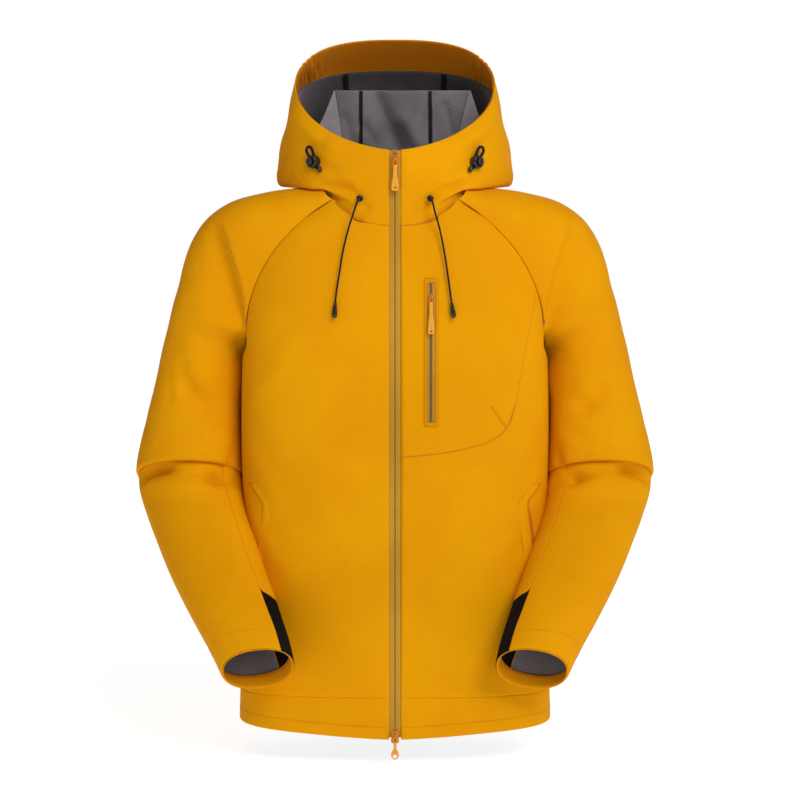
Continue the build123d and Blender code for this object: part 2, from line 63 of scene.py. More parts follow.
# ---- sizes, millimetres ----
FRONT_Y = -122.0
ZIP_EDGE = 8.0              # from the zip's middle to the panel's edge
HEM_TOP = 58.0
CLOTH = 1.8                 # thickness of the softshell
FLAT = (0, 0, 0, 0)         # a piece whose edges aren't turned in
# Body section by height: z, half width, front depth, back depth, front squareness, back squareness
BODY = np.array([
    (-20, 221, 122, 121, 3.0, 2.5), (60, 219, 122, 121, 3.0, 2.5), (180, 213, 122, 117, 3.1, 2.5),
    (300, 213.5, 122, 114, 3.3, 2.5), (400, 216, 122, 116, 3.5, 2.6), (530, 214, 122, 124, 3.6, 2.8),
    (640, 209, 122, 123, 3.4, 2.8), (700, 190, 122, 112, 2.9, 2.6), (740, 131, 122, 99, 2.5, 2.5),
    (780, 110, 122, 92, 2.4, 2.4),
])
SIDE_FRONT_Y, SIDE_BACK_Y = -26.0, 52.0
NECK_FRONT = [(ZIP_EDGE, 703), (34, 706), (62, 719), (86, 740)]
RAGLAN_FRONT = [(86, 740), (117, 719), (141, 698), (165, 671), (182, 645), (195, 617), (203, 588),
                (206.5, 560), (207.5, 536)]
RAGLAN_BACK = [(70, 752), (108, 735), (138, 712), (163, 687), (182, 657), (195, 627), (203, 598),
               (206.5, 568), (207.5, 538)]
UNDERARM_Z = 514.0
SIDE_HEIGHTS = (HEM_TOP, 120, 190, 260, 330, 400, 460, UNDERARM_Z)
BACK_TOP = 746.5
CHEST_SEAM = [(ZIP_EDGE, 388), (60, 393), (103, 401), (136, 413), (155, 430), (164, 452), (171, 490),
              (179, 535), (187, 575), (195, 617)]
CHEST_ZIP_X = 49.0
CHEST_ZIP = (434.0, 628.0)
# The camera's place, and how far off things are drawn at their true size
EYE_Y, EYE_Z, TRUE_SIZE_AT = -3122.0, 600.0, 3000.0
TURNED_EDGE = (0.45, 1.1, 2.2)      # the close steps beside a turned seam


# ---- curves and grids ----
def spline(at, knots, values):
    """Smooth interpolation through the knots; values may have several columns."""
    at, knots, values = np.asarray(at, float), np.asarray(knots, float), np.asarray(values, float)
    slopes = np.gradient(values, knots, axis=0)
    k = np.clip(np.searchsorted(knots, at, side="right") - 1, 0, len(knots) - 2)
    step = knots[k + 1] - knots[k]
    t = np.clip((at - knots[k]) / step, 0, 1)
    for _ in range(values.ndim - 1):
        t, step = t[..., None], step[..., None]
    start, end = values[k], values[k + 1]
    pull = (t ** 3 - 2 * t ** 2 + t) * slopes[k] + (t ** 3 - t ** 2) * slopes[k + 1]
    return (2 * t ** 3 - 3 * t ** 2 + 1) * start + (3 * t ** 2 - 2 * t ** 3) * end + pull * step


def unit(vectors):
    return vectors / np.linalg.norm(vectors, axis=-1, keepdims=True)


def distances(points):
    """How far along the line each point lies."""
    steps = np.linalg.norm(np.diff(np.asarray(points, float), axis=0), axis=1)
    return np.concatenate(([0], np.cumsum(steps)))


def chords(points):
    run = distances(points)
    return run / run[-1]


def through(points, at):
    """Points of a smooth curve through the given ones, at shares of its length."""
    points = np.asarray(points, float)
    return spline(at, chords(points), points)


def shares(length, pitch):
    """Even steps of about the pitch, with close steps beside both edges for a turned seam."""
    inner = np.linspace(0, 1, max(3, int(round(length / pitch)) + 1))[1:-1]
    near = np.array(TURNED_EDGE) / length
    inner = inner[(inner > near[-1] * 1.4) & (inner < 1 - near[-1] * 1.4)]
    return np.concatenate(([0], near, inner, 1 - near[::-1], [1]))


def smoothstep(value, low, high):
    t = np.clip((value - low) / (high - low), 0, 1)
    return t * t * (3 - 2 * t)


def body_sizes(z):
    return np.moveaxis(spline(z, BODY[:, 0], BODY[:, 1:]), -1, 0)


def body(angle, z, inset=0.0):
    """The body's surface; angle 0 is the zip, a right angle the wearer's left side, pi the back middle."""
    width, front, back, square_front, square_back = body_sizes(z)
    s, c = np.sin(angle), np.cos(angle)
    depth = np.where(c > 0, front, back) - inset
    square = np.where(c > 0, square_front, square_back)
    reach = ((np.abs(s) / (width - inset)) ** square + (np.abs(c) / depth) ** square) ** (-1 / square)
    return np.stack([reach * s, -reach * c, z * np.ones_like(reach)], axis=-1)


def angle_at(x, width, depth, square):
    y = depth * np.maximum(1 - (np.abs(x) / width) ** square, 1e-6) ** (1 / square)
    return np.arctan2(x, y)


def front_angle(x, z):
    width, front, _, square, _ = body_sizes(z)
    return angle_at(x, width, front, square)


def back_angle(x, z):
    width, _, back, _, square = body_sizes(z)
    return np.pi - angle_at(x, width, back, square)


def front_line(points):
    """The (angle, z) of x, z points on the front."""
    return [(front_angle(x, z), z) for x, z in points]


def side_angle(y, z):
    width, front, back, square_front, square_back = body_sizes(z)
    depth, square = (front, square_front) if y < 0 else (back, square_back)
    x = width * (1 - (abs(y) / depth) ** square) ** (1 / square)
    return np.arctan2(x, -y)


def coons(bottom, top, left, right, s, t):
    """Fill four boundary curves of (angle, z) given at the shares s and t."""
    s, t = s[None, :, None], t[:, None, None]
    ruled = (1 - t) * bottom[None] + t * top[None] + (1 - s) * left[:, None] + s * right[:, None]
    corners = ((1 - s) * (1 - t) * bottom[0] + s * (1 - t) * bottom[-1]
               + (1 - s) * t * top[0] + s * t * top[-1])
    return ruled - corners


def grid_normals(grid, ring=False):
    along = np.gradient(grid, axis=0)
    if ring:
        across = np.roll(grid, -1, axis=1) - np.roll(grid, 1, axis=1)
    else:
        across = np.gradient(grid, axis=1)
    normal = np.cross(across, along)
    return normal / np.maximum(np.linalg.norm(normal, axis=2, keepdims=True), 1e-9)


def runs(grid, axis):
    step = np.linalg.norm(np.diff(grid, axis=axis), axis=2)
    zero = np.zeros_like(np.take(step, [0], axis=axis))
    return np.concatenate((zero, np.cumsum(step, axis=axis)), axis=axis)


MATERIALS = {}


def new_object(name, vertices, faces, slots, material_index=None, uv=None, smooth=True):
    """A mesh object from millimetre vertices in the drawing's frame."""
    mesh = bpy.data.meshes.new(name)
    places = (np.asarray(vertices, float) * MM + SHIFT).tolist()
    mesh.from_pydata(places, [], [list(map(int, face)) for face in faces])
    obj = bpy.data.objects.new(name, mesh)
    bpy.context.scene.collection.objects.link(obj)
    for slot in slots:
        mesh.materials.append(MATERIALS[slot])
    if material_index is not None:
        mesh.polygons.foreach_set("material_index", np.asarray(material_index, np.int32))
    mesh.polygons.foreach_set("use_smooth", np.full(len(mesh.polygons), smooth))
    if uv is not None:
        layer = mesh.uv_layers.new(name="cloth")
        corner = np.zeros(len(mesh.loops), np.int32)
        mesh.loops.foreach_get("vertex_index", corner)
        layer.data.foreach_set("uv", (np.asarray(uv) * MM)[corner].ravel())
    mesh.validate()
    return obj


def quads(rows, cols, offset=0, ring=False, flip=False):
    i, j = np.meshgrid(np.arange(rows - 1), np.arange(cols if ring else cols - 1), indexing="ij")
    i, j = i.ravel(), j.ravel()
    n = (j + 1) % cols
    faces = np.stack([i * cols + j, i * cols + n, (i + 1) * cols + n, (i + 1) * cols + j], axis=1) + offset
    return faces[:, ::-1] if flip else faces


def stack_faces(rows, sides, base=0, closed=False):
    """Faces of a stack of rings, with flat ends, or joined from the last ring to the first."""
    faces = quads(rows, sides, base, True).tolist()
    last = base + (rows - 1) * sides
    if closed:
        joins = [(k, (k + 1) % sides) for k in range(sides)]
        return faces + [[last + k, last + n, base + n, base + k] for k, n in joins]
    return faces + [list(range(base, base + sides))[::-1], list(range(last, last + sides))]


def cloth(name, grid, side=1, slots=("shell", "fleece"), ring=False, thickness=CLOTH,
          roll=(0.6, 0.6, 0.6, 0.6), crease=2.0):
    """A panel of bonded cloth from a grid of its outer face, with its four edges turned in by roll
    (bottom, top, left, right), its thickness, and its lining on the inner face."""
    grid = np.array(grid, float)
    normal = grid_normals(grid, ring) * side
    up, over = runs(grid, 0), runs(grid, 1)
    edges = [up, up[-1:] - up] + ([] if ring else [over, over[:, -1:] - over])
    for depth, distance in zip(roll, edges):
        grid -= normal * (depth * np.clip(1 - distance / crease, 0, 1) ** 2)[..., None]
    normal = grid_normals(grid, ring) * side
    rows, cols = grid.shape[:2]
    inner = grid - normal * thickness
    count = rows * cols
    flip = side < 0
    faces = [quads(rows, cols, 0, ring, flip), quads(rows, cols, count, ring, not flip)]
    index = [np.zeros(len(faces[0])), np.full(len(faces[1]), min(1, len(slots) - 1))]
    border = []
    last = cols if ring else cols - 1
    for j in range(last):
        n = (j + 1) % cols
        top = (rows - 1) * cols
        border.append((n, j, j + count, n + count))
        border.append((top + j, top + n, top + n + count, top + j + count))
    if not ring:
        for i in range(rows - 1):
            a, b = i * cols, (i + 1) * cols
            border.append((a, b, b + count, a + count))
            a, b = a + cols - 1, b + cols - 1
            border.append((b, a, a + count, b + count))
    border = np.array(border)
    if flip:
        border = border[:, ::-1]
    faces.append(border)
    index.append(np.zeros(len(border)))
    uv = np.stack([over, up], axis=-1).reshape(-1, 2)
    return new_object(name, np.concatenate((grid.reshape(-1, 3), inner.reshape(-1, 3))),
                      np.concatenate(faces), slots, np.concatenate(index), np.concatenate((uv, uv)))


def mirrored(grid):
    return np.asarray(grid) * (-1, 1, 1)


def both_sides():
    """The wearer's left, where x is positive, and right."""
    return (("left", 1), ("right", -1))


def placed(grid, side):
    return grid if side > 0 else mirrored(grid)


def dent(grid, normal, places):
    """Soft folds: each place is a line, a width across it, and a depth, inward positive."""
    out = np.array(grid, float)
    for start, end, width, depth in places:
        start, end = np.array(start, float), np.array(end, float)
        line = end - start
        share = np.clip(((grid - start) @ line) / (line @ line), 0, 1)
        near = np.linalg.norm(grid - start - share[..., None] * line, axis=-1)
        out -= normal * (depth * np.exp(-(near / width) ** 2))[..., None]
    return out


# ---- materials: procedural, on object or cloth coordinates ----
def srgb(*levels):
    parts = [level / 255 for level in levels]
    return (*(v / 12.92 if v <= 0.04045 else ((v + 0.055) / 1.055) ** 2.4 for v in parts), 1.0)


def new_material(name, colour, roughness=0.8, metallic=0.0, sheen=0.0, specular=0.5, coat=0.0):
    material = bpy.data.materials.new(name)
    material.use_nodes = True
    shader = material.node_tree.nodes["Principled BSDF"]
    shader.inputs["Base Color"].default_value = colour
    shader.inputs["Roughness"].default_value = roughness
    shader.inputs["Metallic"].default_value = metallic
    shader.inputs["Sheen Weight"].default_value = sheen
    shader.inputs["Sheen Roughness"].default_value = 0.5
    shader.inputs["Specular IOR Level"].default_value = specular
    shader.inputs["Coat Weight"].default_value = coat
    MATERIALS[name] = material
    return material.node_tree, shader


def link_noise(tree, vector, scale, detail, stretch=(1, 1, 1)):
    mapping = tree.nodes.new("ShaderNodeMapping")
    mapping.inputs["Scale"].default_value = stretch
    tree.links.new(vector, mapping.inputs["Vector"])
    noise = tree.nodes.new("ShaderNodeTexNoise")
    noise.inputs["Scale"].default_value = scale
    noise.inputs["Detail"].default_value = detail
    tree.links.new(mapping.outputs["Vector"], noise.inputs["Vector"])
    return noise.outputs["Fac"]


def mix_colour(tree, factor, first, second):
    mix = tree.nodes.new("ShaderNodeMix")
    mix.data_type = "RGBA"
    tree.links.new(factor, mix.inputs["Factor"])
    mix.inputs["A"].default_value = first
    mix.inputs["B"].default_value = second
    return mix.outputs["Result"]


def ramp(tree, value, low, high, to_low=0.0, to_high=1.0):
    node = tree.nodes.new("ShaderNodeMapRange")
    node.inputs["From Min"].default_value = low
    node.inputs["From Max"].default_value = high
    node.inputs["To Min"].default_value = to_low
    node.inputs["To Max"].default_value = to_high
    tree.links.new(value, node.inputs["Value"])
    return node.outputs["Result"]


def bump(tree, shader, height, distance, below=None):
    node = tree.nodes.new("ShaderNodeBump")
    node.inputs["Distance"].default_value = distance
    node.inputs["Strength"].default_value = 1.0
    tree.links.new(height, node.inputs["Height"])
    if below is not None:
        tree.links.new(below, node.inputs["Normal"])
    tree.links.new(node.outputs["Normal"], shader.inputs["Normal"])
    return node.outputs["Normal"]


def object_vector(tree):
    return tree.nodes.new("ShaderNodeTexCoord").outputs["Object"]


def cloth_material(name, dark, light, roughness, sheen, weave, weave_depth, ripple=0.0):
    """Woven or brushed cloth: a slow change of tone, a fine weave and soft ripples."""
    tree, shader = new_material(name, light, roughness, sheen=sheen, specular=0.06)
    vector = object_vector(tree)
    tone = ramp(tree, link_noise(tree, vector, 7.0, 3.0), 0.42, 0.58)
    tree.links.new(mix_colour(tree, tone, dark, light), shader.inputs["Base Color"])
    fine = link_noise(tree, vector, weave, 2.0)
    normal = bump(tree, shader, fine, weave_depth)
    if ripple:
        slow = link_noise(tree, vector, 26.0, 2.0, (1.0, 1.0, 0.45))
        bump(tree, shader, slow, ripple, normal)


cloth_material("shell", srgb(224, 150, 2), srgb(228, 156, 2), 0.85, 0.0, 1500.0, 0.00028, 0.0012)
cloth_material("shell_edge", srgb(214, 138, 2), srgb(219, 144, 2), 0.85, 0.0, 1500.0, 0.0003)
# painted shade: the shell's colour darkened for cloth that lies in shade, the facing inside the brim and the
# strip behind the hand pockets' opening
cloth_material("shell_painted_shade", srgb(200, 116, 5), srgb(208, 124, 7), 0.85, 0.03, 1500.0, 0.0003, 0.001)
cloth_material("fleece", srgb(104, 99, 102), srgb(128, 123, 126), 1.0, 0.2, 420.0, 0.0012)
# painted shade: the lining's fleece darkened as it looks in shade inside the hood and the body
cloth_material("fleece_painted_shade", srgb(70, 65, 70), srgb(84, 79, 84), 1.0, 0.3, 420.0, 0.0012)
# painted light: the lining's fleece lightened as it looks where light falls on it
cloth_material("fleece_painted_light", srgb(142, 134, 140), srgb(160, 152, 158), 1.0, 0.2, 420.0, 0.0012)
cloth_material("stretch", srgb(20, 16, 14), srgb(27, 22, 19), 0.9, 0.0, 900.0, 0.0004, 0.0012)
cloth_material("binding", srgb(22, 19, 19), srgb(28, 25, 25), 0.7, 0.1, 900.0, 0.0003)
cloth_material("zip_tape", srgb(188, 140, 44), srgb(202, 152, 52), 0.75, 0.1, 1200.0, 0.0003)
cloth_material("mesh", srgb(40, 40, 42), srgb(54, 54, 56), 0.9, 0.1, 700.0, 0.0006)
cloth_material("cord", srgb(17, 16, 18), srgb(26, 25, 27), 0.65, 0.15, 1100.0, 0.0005)
cloth_material("zip_stitch", srgb(150, 108, 34), srgb(166, 122, 42), 0.7, 0.05, 1800.0, 0.0001)
cloth_material("thread", srgb(206, 120, 8), srgb(216, 130, 12), 0.6, 0.1, 2200.0, 0.0001)
cloth_material("thread_orange", srgb(214, 104, 10), srgb(226, 116, 16), 0.55, 0.1, 2200.0, 0.0001)


def hard_material(name, colour, roughness, metallic=0.0, coat=0.0):
    """Moulded or painted surface: a fine grain, a little smoother where it is worn."""
    tree, shader = new_material(name, colour, roughness, metallic, coat=coat)
    vector = object_vector(tree)
    bump(tree, shader, link_noise(tree, vector, 900.0, 2.0), 0.00006)
    wear = link_noise(tree, vector, 160.0, 3.0)
    worn = ramp(tree, wear, 0.35, 0.65, roughness * 0.85, min(1.0, roughness * 1.2))
    tree.links.new(worn, shader.inputs["Roughness"])


hard_material("slider", srgb(214, 130, 10), 0.32, 0.35, 0.4)
hard_material("pull", srgb(230, 158, 2), 0.38, 0.0, 0.25)
hard_material("coil", srgb(104, 86, 40), 0.5)
hard_material("black_plastic", srgb(20, 19, 20), 0.3, 0.0, 0.2)


# ---- camera, light and floor ----
def at(x, y, z):
    return Vector(np.array((x, y, z), float) * MM + SHIFT)


def aimed(obj, place, target):
    obj.location = place
    obj.rotation_euler = (target - place).to_track_quat("-Z", "Y").to_euler()
    bpy.context.scene.collection.objects.link(obj)


VIEW_WIDTH = 20.56           # degrees
LOOKED_AT = (6.8, FRONT_Y, 466.5)
camera_data = bpy.data.cameras.new("camera")
camera_data.sensor_width = 36.0
camera_data.angle = math.radians(VIEW_WIDTH)
camera_data.clip_end = 60.0
camera = bpy.data.objects.new("camera", camera_data)
aimed(camera, at(0, EYE_Y, EYE_Z), at(*LOOKED_AT))
bpy.context.scene.camera = camera

world = bpy.data.worlds.new("studio")
world.use_nodes = True
bpy.context.scene.world = world
nodes, links = world.node_tree.nodes, world.node_tree.links
sky = nodes["Background"]
sky.inputs["Color"].default_value = (1.0, 0.86, 0.74, 1.0)
sky.inputs["Strength"].default_value = 0.10
paper = nodes.new("ShaderNodeBackground")
paper.inputs["Color"].default_value = (1.0, 1.0, 1.0, 1.0)
choose = nodes.new("ShaderNodeMixShader")
links.new(nodes.new("ShaderNodeLightPath").outputs["Is Camera Ray"], choose.inputs["Fac"])
links.new(sky.outputs["Background"], choose.inputs[1])
links.new(paper.outputs["Background"], choose.inputs[2])
links.new(choose.outputs["Shader"], nodes["World Output"].inputs["Surface"])


def softbox(name, place, target, size, power):
    data = bpy.data.lights.new(name, "AREA")
    data.shape = "RECTANGLE"
    data.size, data.size_y = size
    data.energy = power
    aimed(bpy.data.objects.new(f"{name}_light", data), at(*place), at(*target))


def wide_light(name, place, strength, spread):
    data = bpy.data.lights.new(name, "SUN")
    data.energy = strength
    data.angle = math.radians(spread)
    aimed(bpy.data.objects.new(f"{name}_light", data), at(*place), at(0, 0, 480))


wide_light("key", (1300, -2400, 2600), 1.02, 26)
wide_light("left", (-2600, -900, 1200), 0.12, 60)
wide_light("right", (2600, -900, 1200), 0.24, 60)
wide_light("back", (300, 2600, 1800), 0.8, 60)
softbox("front", (750, -1500, 1500), (0, -122, 640), (0.8, 0.8), 6.5)
softbox("top", (0, -900, 2000), (0, -60, 700), (1.4, 0.9), 5)

FLOOR_Z = -36.0
_, floor_shader = new_material("floor", (0.5, 0.5, 0.5, 1.0), 0.95, specular=0.0)
floor_shader.inputs["Emission Color"].default_value = (1.0, 1.0, 1.0, 1.0)
floor_shader.inputs["Emission Strength"].default_value = 0.85
bpy.ops.mesh.primitive_plane_add(size=40.0, location=at(0, 0, FLOOR_Z))
floor = bpy.context.object
floor.name = "floor"
floor.data.materials.append(MATERIALS["floor"])

# ---- drawcords: from the eyelet in the collar to the moulded end ----
CORD_DIAMETER = 2.6
CORD_RIGHT = [(-48, -121, 741), (-50, -136, 739), (-56, -138, 720), (-63, -129, 700), (-71, -127, 668),
              (-76, -127, 634), (-80, -126, 612), (-81, -126, 598)]
CORD_LEFT = [(48, -121, 741), (50, -136, 739), (54, -138, 720), (60, -129, 702), (67, -127, 668),
             (72, -127, 634), (75, -126, 612), (77, -126, 598)]


def lathe(name, base, axis, profile, slot, sides):
    """A turned piece: profile lists distance along the axis and radius."""
    axis = Vector(axis).normalized()
    across = axis.orthogonal().normalized()
    other = np.array(axis.cross(across))
    axis, across = np.array(axis), np.array(across)
    turns = np.linspace(0, 2 * np.pi, sides, endpoint=False)
    vertices = [np.array(base) + d * axis + r * (np.cos(a) * across + np.sin(a) * other)
                for d, r in profile for a in turns]
    return new_object(name, vertices, stack_faces(len(profile), sides), [slot])


def cord_end(name, route):
    """The moulded end: a collar round the cord, a long taper, and a rounded foot."""
    base, before = np.array(route[-1], float), np.array(route[-2], float)
    along = base - before
    profile = [(-0.8, 1.5), (-0.5, 2.2), (0.4, 2.6), (1.0, 2.3), (1.8, 2.2), (7, 2.9), (12, 3.5), (16, 3.7),
               (18.6, 3.4), (19.7, 2.4), (20, 1.0)]
    return lathe(name, base, along, profile, "black_plastic", 24)


def drawcord(name, route, end_piece):
    curve = bpy.data.curves.new(name, "CURVE")
    curve.dimensions = "3D"
    curve.bevel_depth = CORD_DIAMETER / 2 * MM
    curve.bevel_resolution = 4
    curve.resolution_u = 16
    curve.use_fill_caps = True
    line = curve.splines.new("NURBS")
    line.points.add(len(route) - 1)
    for point, place in zip(line.points, route):
        point.co = (*at(*place), 1.0)
    line.order_u = 3
    line.use_endpoint_u = True
    obj = bpy.data.objects.new(name, curve)
    bpy.context.scene.collection.objects.link(obj)
    curve.materials.append(MATERIALS["cord"])
    for piece in (obj, end_piece):
        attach(piece, "torso")


drawcord("cord_right", CORD_RIGHT, cord_end("cord_end_right_piece", CORD_RIGHT))
drawcord("cord_left", CORD_LEFT, cord_end("cord_end_left_piece", CORD_LEFT))


# ---- body panels ----
SIDE_FRONT = [(side_angle(SIDE_FRONT_Y, z), z) for z in SIDE_HEIGHTS]
SIDE_BACK = [(side_angle(SIDE_BACK_Y, z), z) for z in SIDE_HEIGHTS]
ARM_FRONT = SIDE_FRONT + front_line(RAGLAN_FRONT)[::-1]
ARM_BACK = SIDE_BACK + [(back_angle(x, z), z) for x, z in RAGLAN_BACK][::-1]


def run_to(line, z):
    """The line's points from its start up to the height z."""
    line = np.array(line)
    t = np.interp(z, line[:, 1], np.arange(len(line)))
    k = int(np.floor(t + 1e-9))
    points = [tuple(p) for p in line[:k + 1]]
    if t - k > 1e-6:
        a, b = line[k], line[k + 1]
        points.append(tuple(a + (b - a) * (t - k)))
    return points


def panel_grid(bottom, top, left, right, width, height):
    s, t = shares(width, 5.0), shares(height, 6.0)
    patch = coons(through(bottom, s), through(top, s), through(left, t), through(right, t), s, t)
    return body(patch[..., 0], patch[..., 1])


def zip_line(z_from, z_to, steps=12):
    return front_line([(ZIP_EDGE, z) for z in np.linspace(z_from, z_to, steps)])


FRONT_FOLDS = [
    # start, end, width across, depth (millimetres); soft folds of the worn front
    ((-60, -122, 250), (-110, -122, 330), 16, 1.6), ((-195, -80, 300), (-150, -118, 225), 14, 2.2),
    ((-200, -80, 400), (-165, -112, 330), 16, 2.0), ((-40, -122, 120), (-95, -122, 175), 18, 1.2),
    ((-150, -118, 520), (-195, -85, 470), 12, 2.6), ((-128, -121, 560), (-168, -112, 530), 12, 1.6),
    ((60, -122, 250), (115, -122, 320), 16, 1.5), ((195, -80, 300), (150, -118, 225), 14, 2.2),
    ((200, -80, 400), (165, -112, 330), 16, 2.0), ((45, -122, 110), (100, -122, 170), 18, 1.2),
    ((190, -90, 470), (166, -112, 440), 12, 2.2), ((-118, -121, 600), (-160, -110, 615), 16, 1.4),
    ((-30, -122, 705), (-47, -121, 735), 6, 1.4), ((-46, -121, 712), (-50, -121, 735), 5, 1.2),
    ((34, -121, 705), (49, -121, 735), 6, 1.3), ((-22, -122, 430), (-70, -122, 400), 12, 1.3),
    ((24, -122, 330), (80, -122, 350), 12, 1.0), ((120, -120, 360), (165, -112, 395), 12, 1.6),
]
BACK_FOLDS = [
    ((-150, 96, 640), (-60, 121, 560), 20, 2.6), ((150, 96, 640), (60, 121, 560), 20, 2.6),
    ((-170, 88, 430), (-70, 116, 380), 20, 2.2), ((170, 88, 430), (70, 116, 380), 20, 2.2),
    ((-120, 108, 220), (-20, 118, 180), 22, 2.0), ((120, 108, 250), (30, 118, 200), 22, 2.0),
    ((-60, 110, 700), (60, 110, 700), 22, 2.0),
]


def folded(grid, places):
    return dent(grid, grid_normals(grid), places)


def make_front():
    """The right front in one piece, and the left front above and below the curved chest seam."""
    width, neck_z, seam_z, seam_end_z = 205, NECK_FRONT[0][1], CHEST_SEAM[0][1], CHEST_SEAM[-1][1]
    bottom = front_line([(x, HEM_TOP) for x in np.linspace(ZIP_EDGE, 200, 8)]) + [SIDE_FRONT[0]]
    neck, seam = front_line(NECK_FRONT), front_line(CHEST_SEAM)
    lower_side = run_to(ARM_FRONT, seam_end_z)
    upper_side = [lower_side[-1]] + [p for p in ARM_FRONT if p[1] > seam_end_z + 1]
    whole = panel_grid(bottom, neck, zip_line(HEM_TOP, neck_z, 20), ARM_FRONT, width, 700)
    lower = panel_grid(bottom, seam, zip_line(HEM_TOP, seam_z), lower_side, width, 420)
    upper = panel_grid(seam, neck, zip_line(seam_z, neck_z), upper_side, width, 330)
    for name, grid, side, under in (("front_right", mirrored(whole), -1, 0.6), ("front_left", lower, 1, 0.6),
                                    ("chest_left", upper, 1, 0.9)):
        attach(cloth(name, folded(grid, FRONT_FOLDS), side, roll=(under, 0.7, 1.1, 0.6)), "torso")


make_front()


def make_sides_and_back():
    t = shares(UNDERARM_Z - HEM_TOP, 6.0)
    for name, side in both_sides():
        s = shares(78, 5.0)
        front_line, back_line = through(SIDE_FRONT, t), through(SIDE_BACK, t)
        patch = front_line[:, None] * (1 - s[None, :, None]) + back_line[:, None] * s[None, :, None]
        patch[..., 1] -= 14 * np.sin(np.pi * s)[None, :] * smoothstep(t, 0.8, 1.0)[:, None]
        grid = body(patch[..., 0], patch[..., 1])
        folds = [((205, -10, 300), (208, 40, 260), 12, 1.6), ((205, 0, 420), (208, 40, 455), 12, 1.6),
                 ((205, -10, 150), (208, 40, 120), 12, 1.2)]
        grid = placed(folded(grid, folds), side)
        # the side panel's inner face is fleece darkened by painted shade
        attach(cloth(f"side_{name}", grid, side, ("stretch", "fleece_painted_shade")), "torso")
    top = [ARM_BACK[-1], (back_angle(45, 749.0), 749.0), (back_angle(20, 747.0), 747.0), (math.pi, BACK_TOP)]
    bottom = [(a, HEM_TOP) for a in np.linspace(SIDE_BACK[0][0], math.pi, 10)]
    middle = [(math.pi, z) for z in np.linspace(HEM_TOP, BACK_TOP, 20)]
    half = panel_grid(bottom, top, ARM_BACK, middle, 245, 700)
    keep = half[:, :-4]
    whole = np.concatenate((keep, half[:, -1:], mirrored(keep[:, ::-1])), axis=1)
    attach(cloth("back", folded(whole, BACK_FOLDS), 1), "torso")


make_sides_and_back()


HIP_RISE = 13.0
HEM_ZIP_ANGLE = front_angle(ZIP_EDGE, 30)
HEM_SIDE_ANGLE = 0.5 * (SIDE_FRONT[0][0] + SIDE_BACK[0][0])


def hem_bottom(angle):
    """The hem dips to the front and the back and rises a little over the hips."""
    return HIP_RISE * np.sin(np.abs(angle)) ** 2


def hem_grid(angles):
    t = shares(HEM_TOP, 5.0)[:, None]
    z = hem_bottom(angles)[None] * (1 - t) + HEM_TOP * t
    return body(np.broadcast_to(angles, z.shape), z)


def make_hem():
    steps = shares(245, 5.0)
    folds = [((50, -122, 0), (62, -122, 58), 10, 0.8), ((120, -121, 0), (112, -121, 58), 12, 0.9)]
    grid = folded(hem_grid(HEM_ZIP_ANGLE + (HEM_SIDE_ANGLE - HEM_ZIP_ANGLE) * steps), folds)
    for name, side in both_sides():
        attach(cloth(f"hem_{name}", placed(grid, side), side, roll=(1.5, 0.7, 1.1, 0.6)), "torso")
    half = (HEM_SIDE_ANGLE + (math.pi - HEM_SIDE_ANGLE) * steps)[:-4]
    angles = np.concatenate((half, [math.pi], 2 * math.pi - half[::-1]))
    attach(cloth("hem_back", hem_grid(angles), 1, roll=(1.5, 0.7, 0.6, 0.6)), "torso")


make_hem()


# ---- stitches ----
STITCHES = {}


def stitch_line(group, points, pitch, length, radius):
    """Thread lying along a line of points, each stitch a short bead; lines of one group make one object."""
    points = np.asarray(points, float)
    run = distances(points)
    count = max(2, int(run[-1] / pitch))
    starts = (np.arange(count) + 0.5) * run[-1] / count

    def place(d):
        return np.stack([np.interp(d, run, points[:, k]) for k in range(3)], axis=-1)

    STITCHES.setdefault(group, []).append((place(starts - length / 2), place(starts + length / 2), radius))


def bead_mesh(name, body_name, slot, blend_with=None, sides=5):
    """One object of all the group's stitches, each a bead with narrow ends."""
    vertices, faces = [], []
    for first, last, radius in STITCHES[name]:
        for a, b in zip(first, last):
            along = unit(b - a)
            across = unit(np.cross(along, (0.0, 0.0, 1.0) if abs(along[2]) < 0.9 else (1.0, 0.0, 0.0)))
            other = np.cross(along, across)
            base = len(vertices)
            for share, reach in ((0, 0.35), (0.22, 1.0), (0.78, 1.0), (1, 0.35)):
                centre = a + (b - a) * share
                for turn in np.linspace(0, 2 * np.pi, sides, endpoint=False):
                    vertices.append(centre + radius * reach * (np.cos(turn) * across + np.sin(turn) * other))
            faces += stack_faces(4, sides, base)
    obj = new_object(name, vertices, faces, [slot])
    if blend_with:
        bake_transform(obj)
    else:
        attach(obj, body_name)


def on_body(points, lift):
    """Points just off the body's surface from angle, z pairs."""
    points = np.asarray(points, float)
    return body(points[:, 0], points[:, 1], -lift)


def tube(name, points, radius, slot, body_name=None, closed=False, sides=10):
    points = np.array(points, float)
    before, after = (points[-1:], points[:1]) if closed else (2 * points[:1] - points[1:2],
                                                              2 * points[-1:] - points[-2:-1])
    along = unit(np.vstack((points[1:], after)) - np.vstack((before, points[:-1])))
    across = unit(np.cross(along, (0.3, 1.0, 0.2)))
    other = np.cross(along, across)
    turns = np.linspace(0, 2 * np.pi, sides, endpoint=False)[None, :, None]
    vertices = points[:, None] + radius * (np.cos(turns) * across[:, None] + np.sin(turns) * other[:, None])
    obj = new_object(name, vertices.reshape(-1, 3), stack_faces(len(points), sides, 0, closed), [slot])
    if body_name:
        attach(obj, body_name)
    return obj


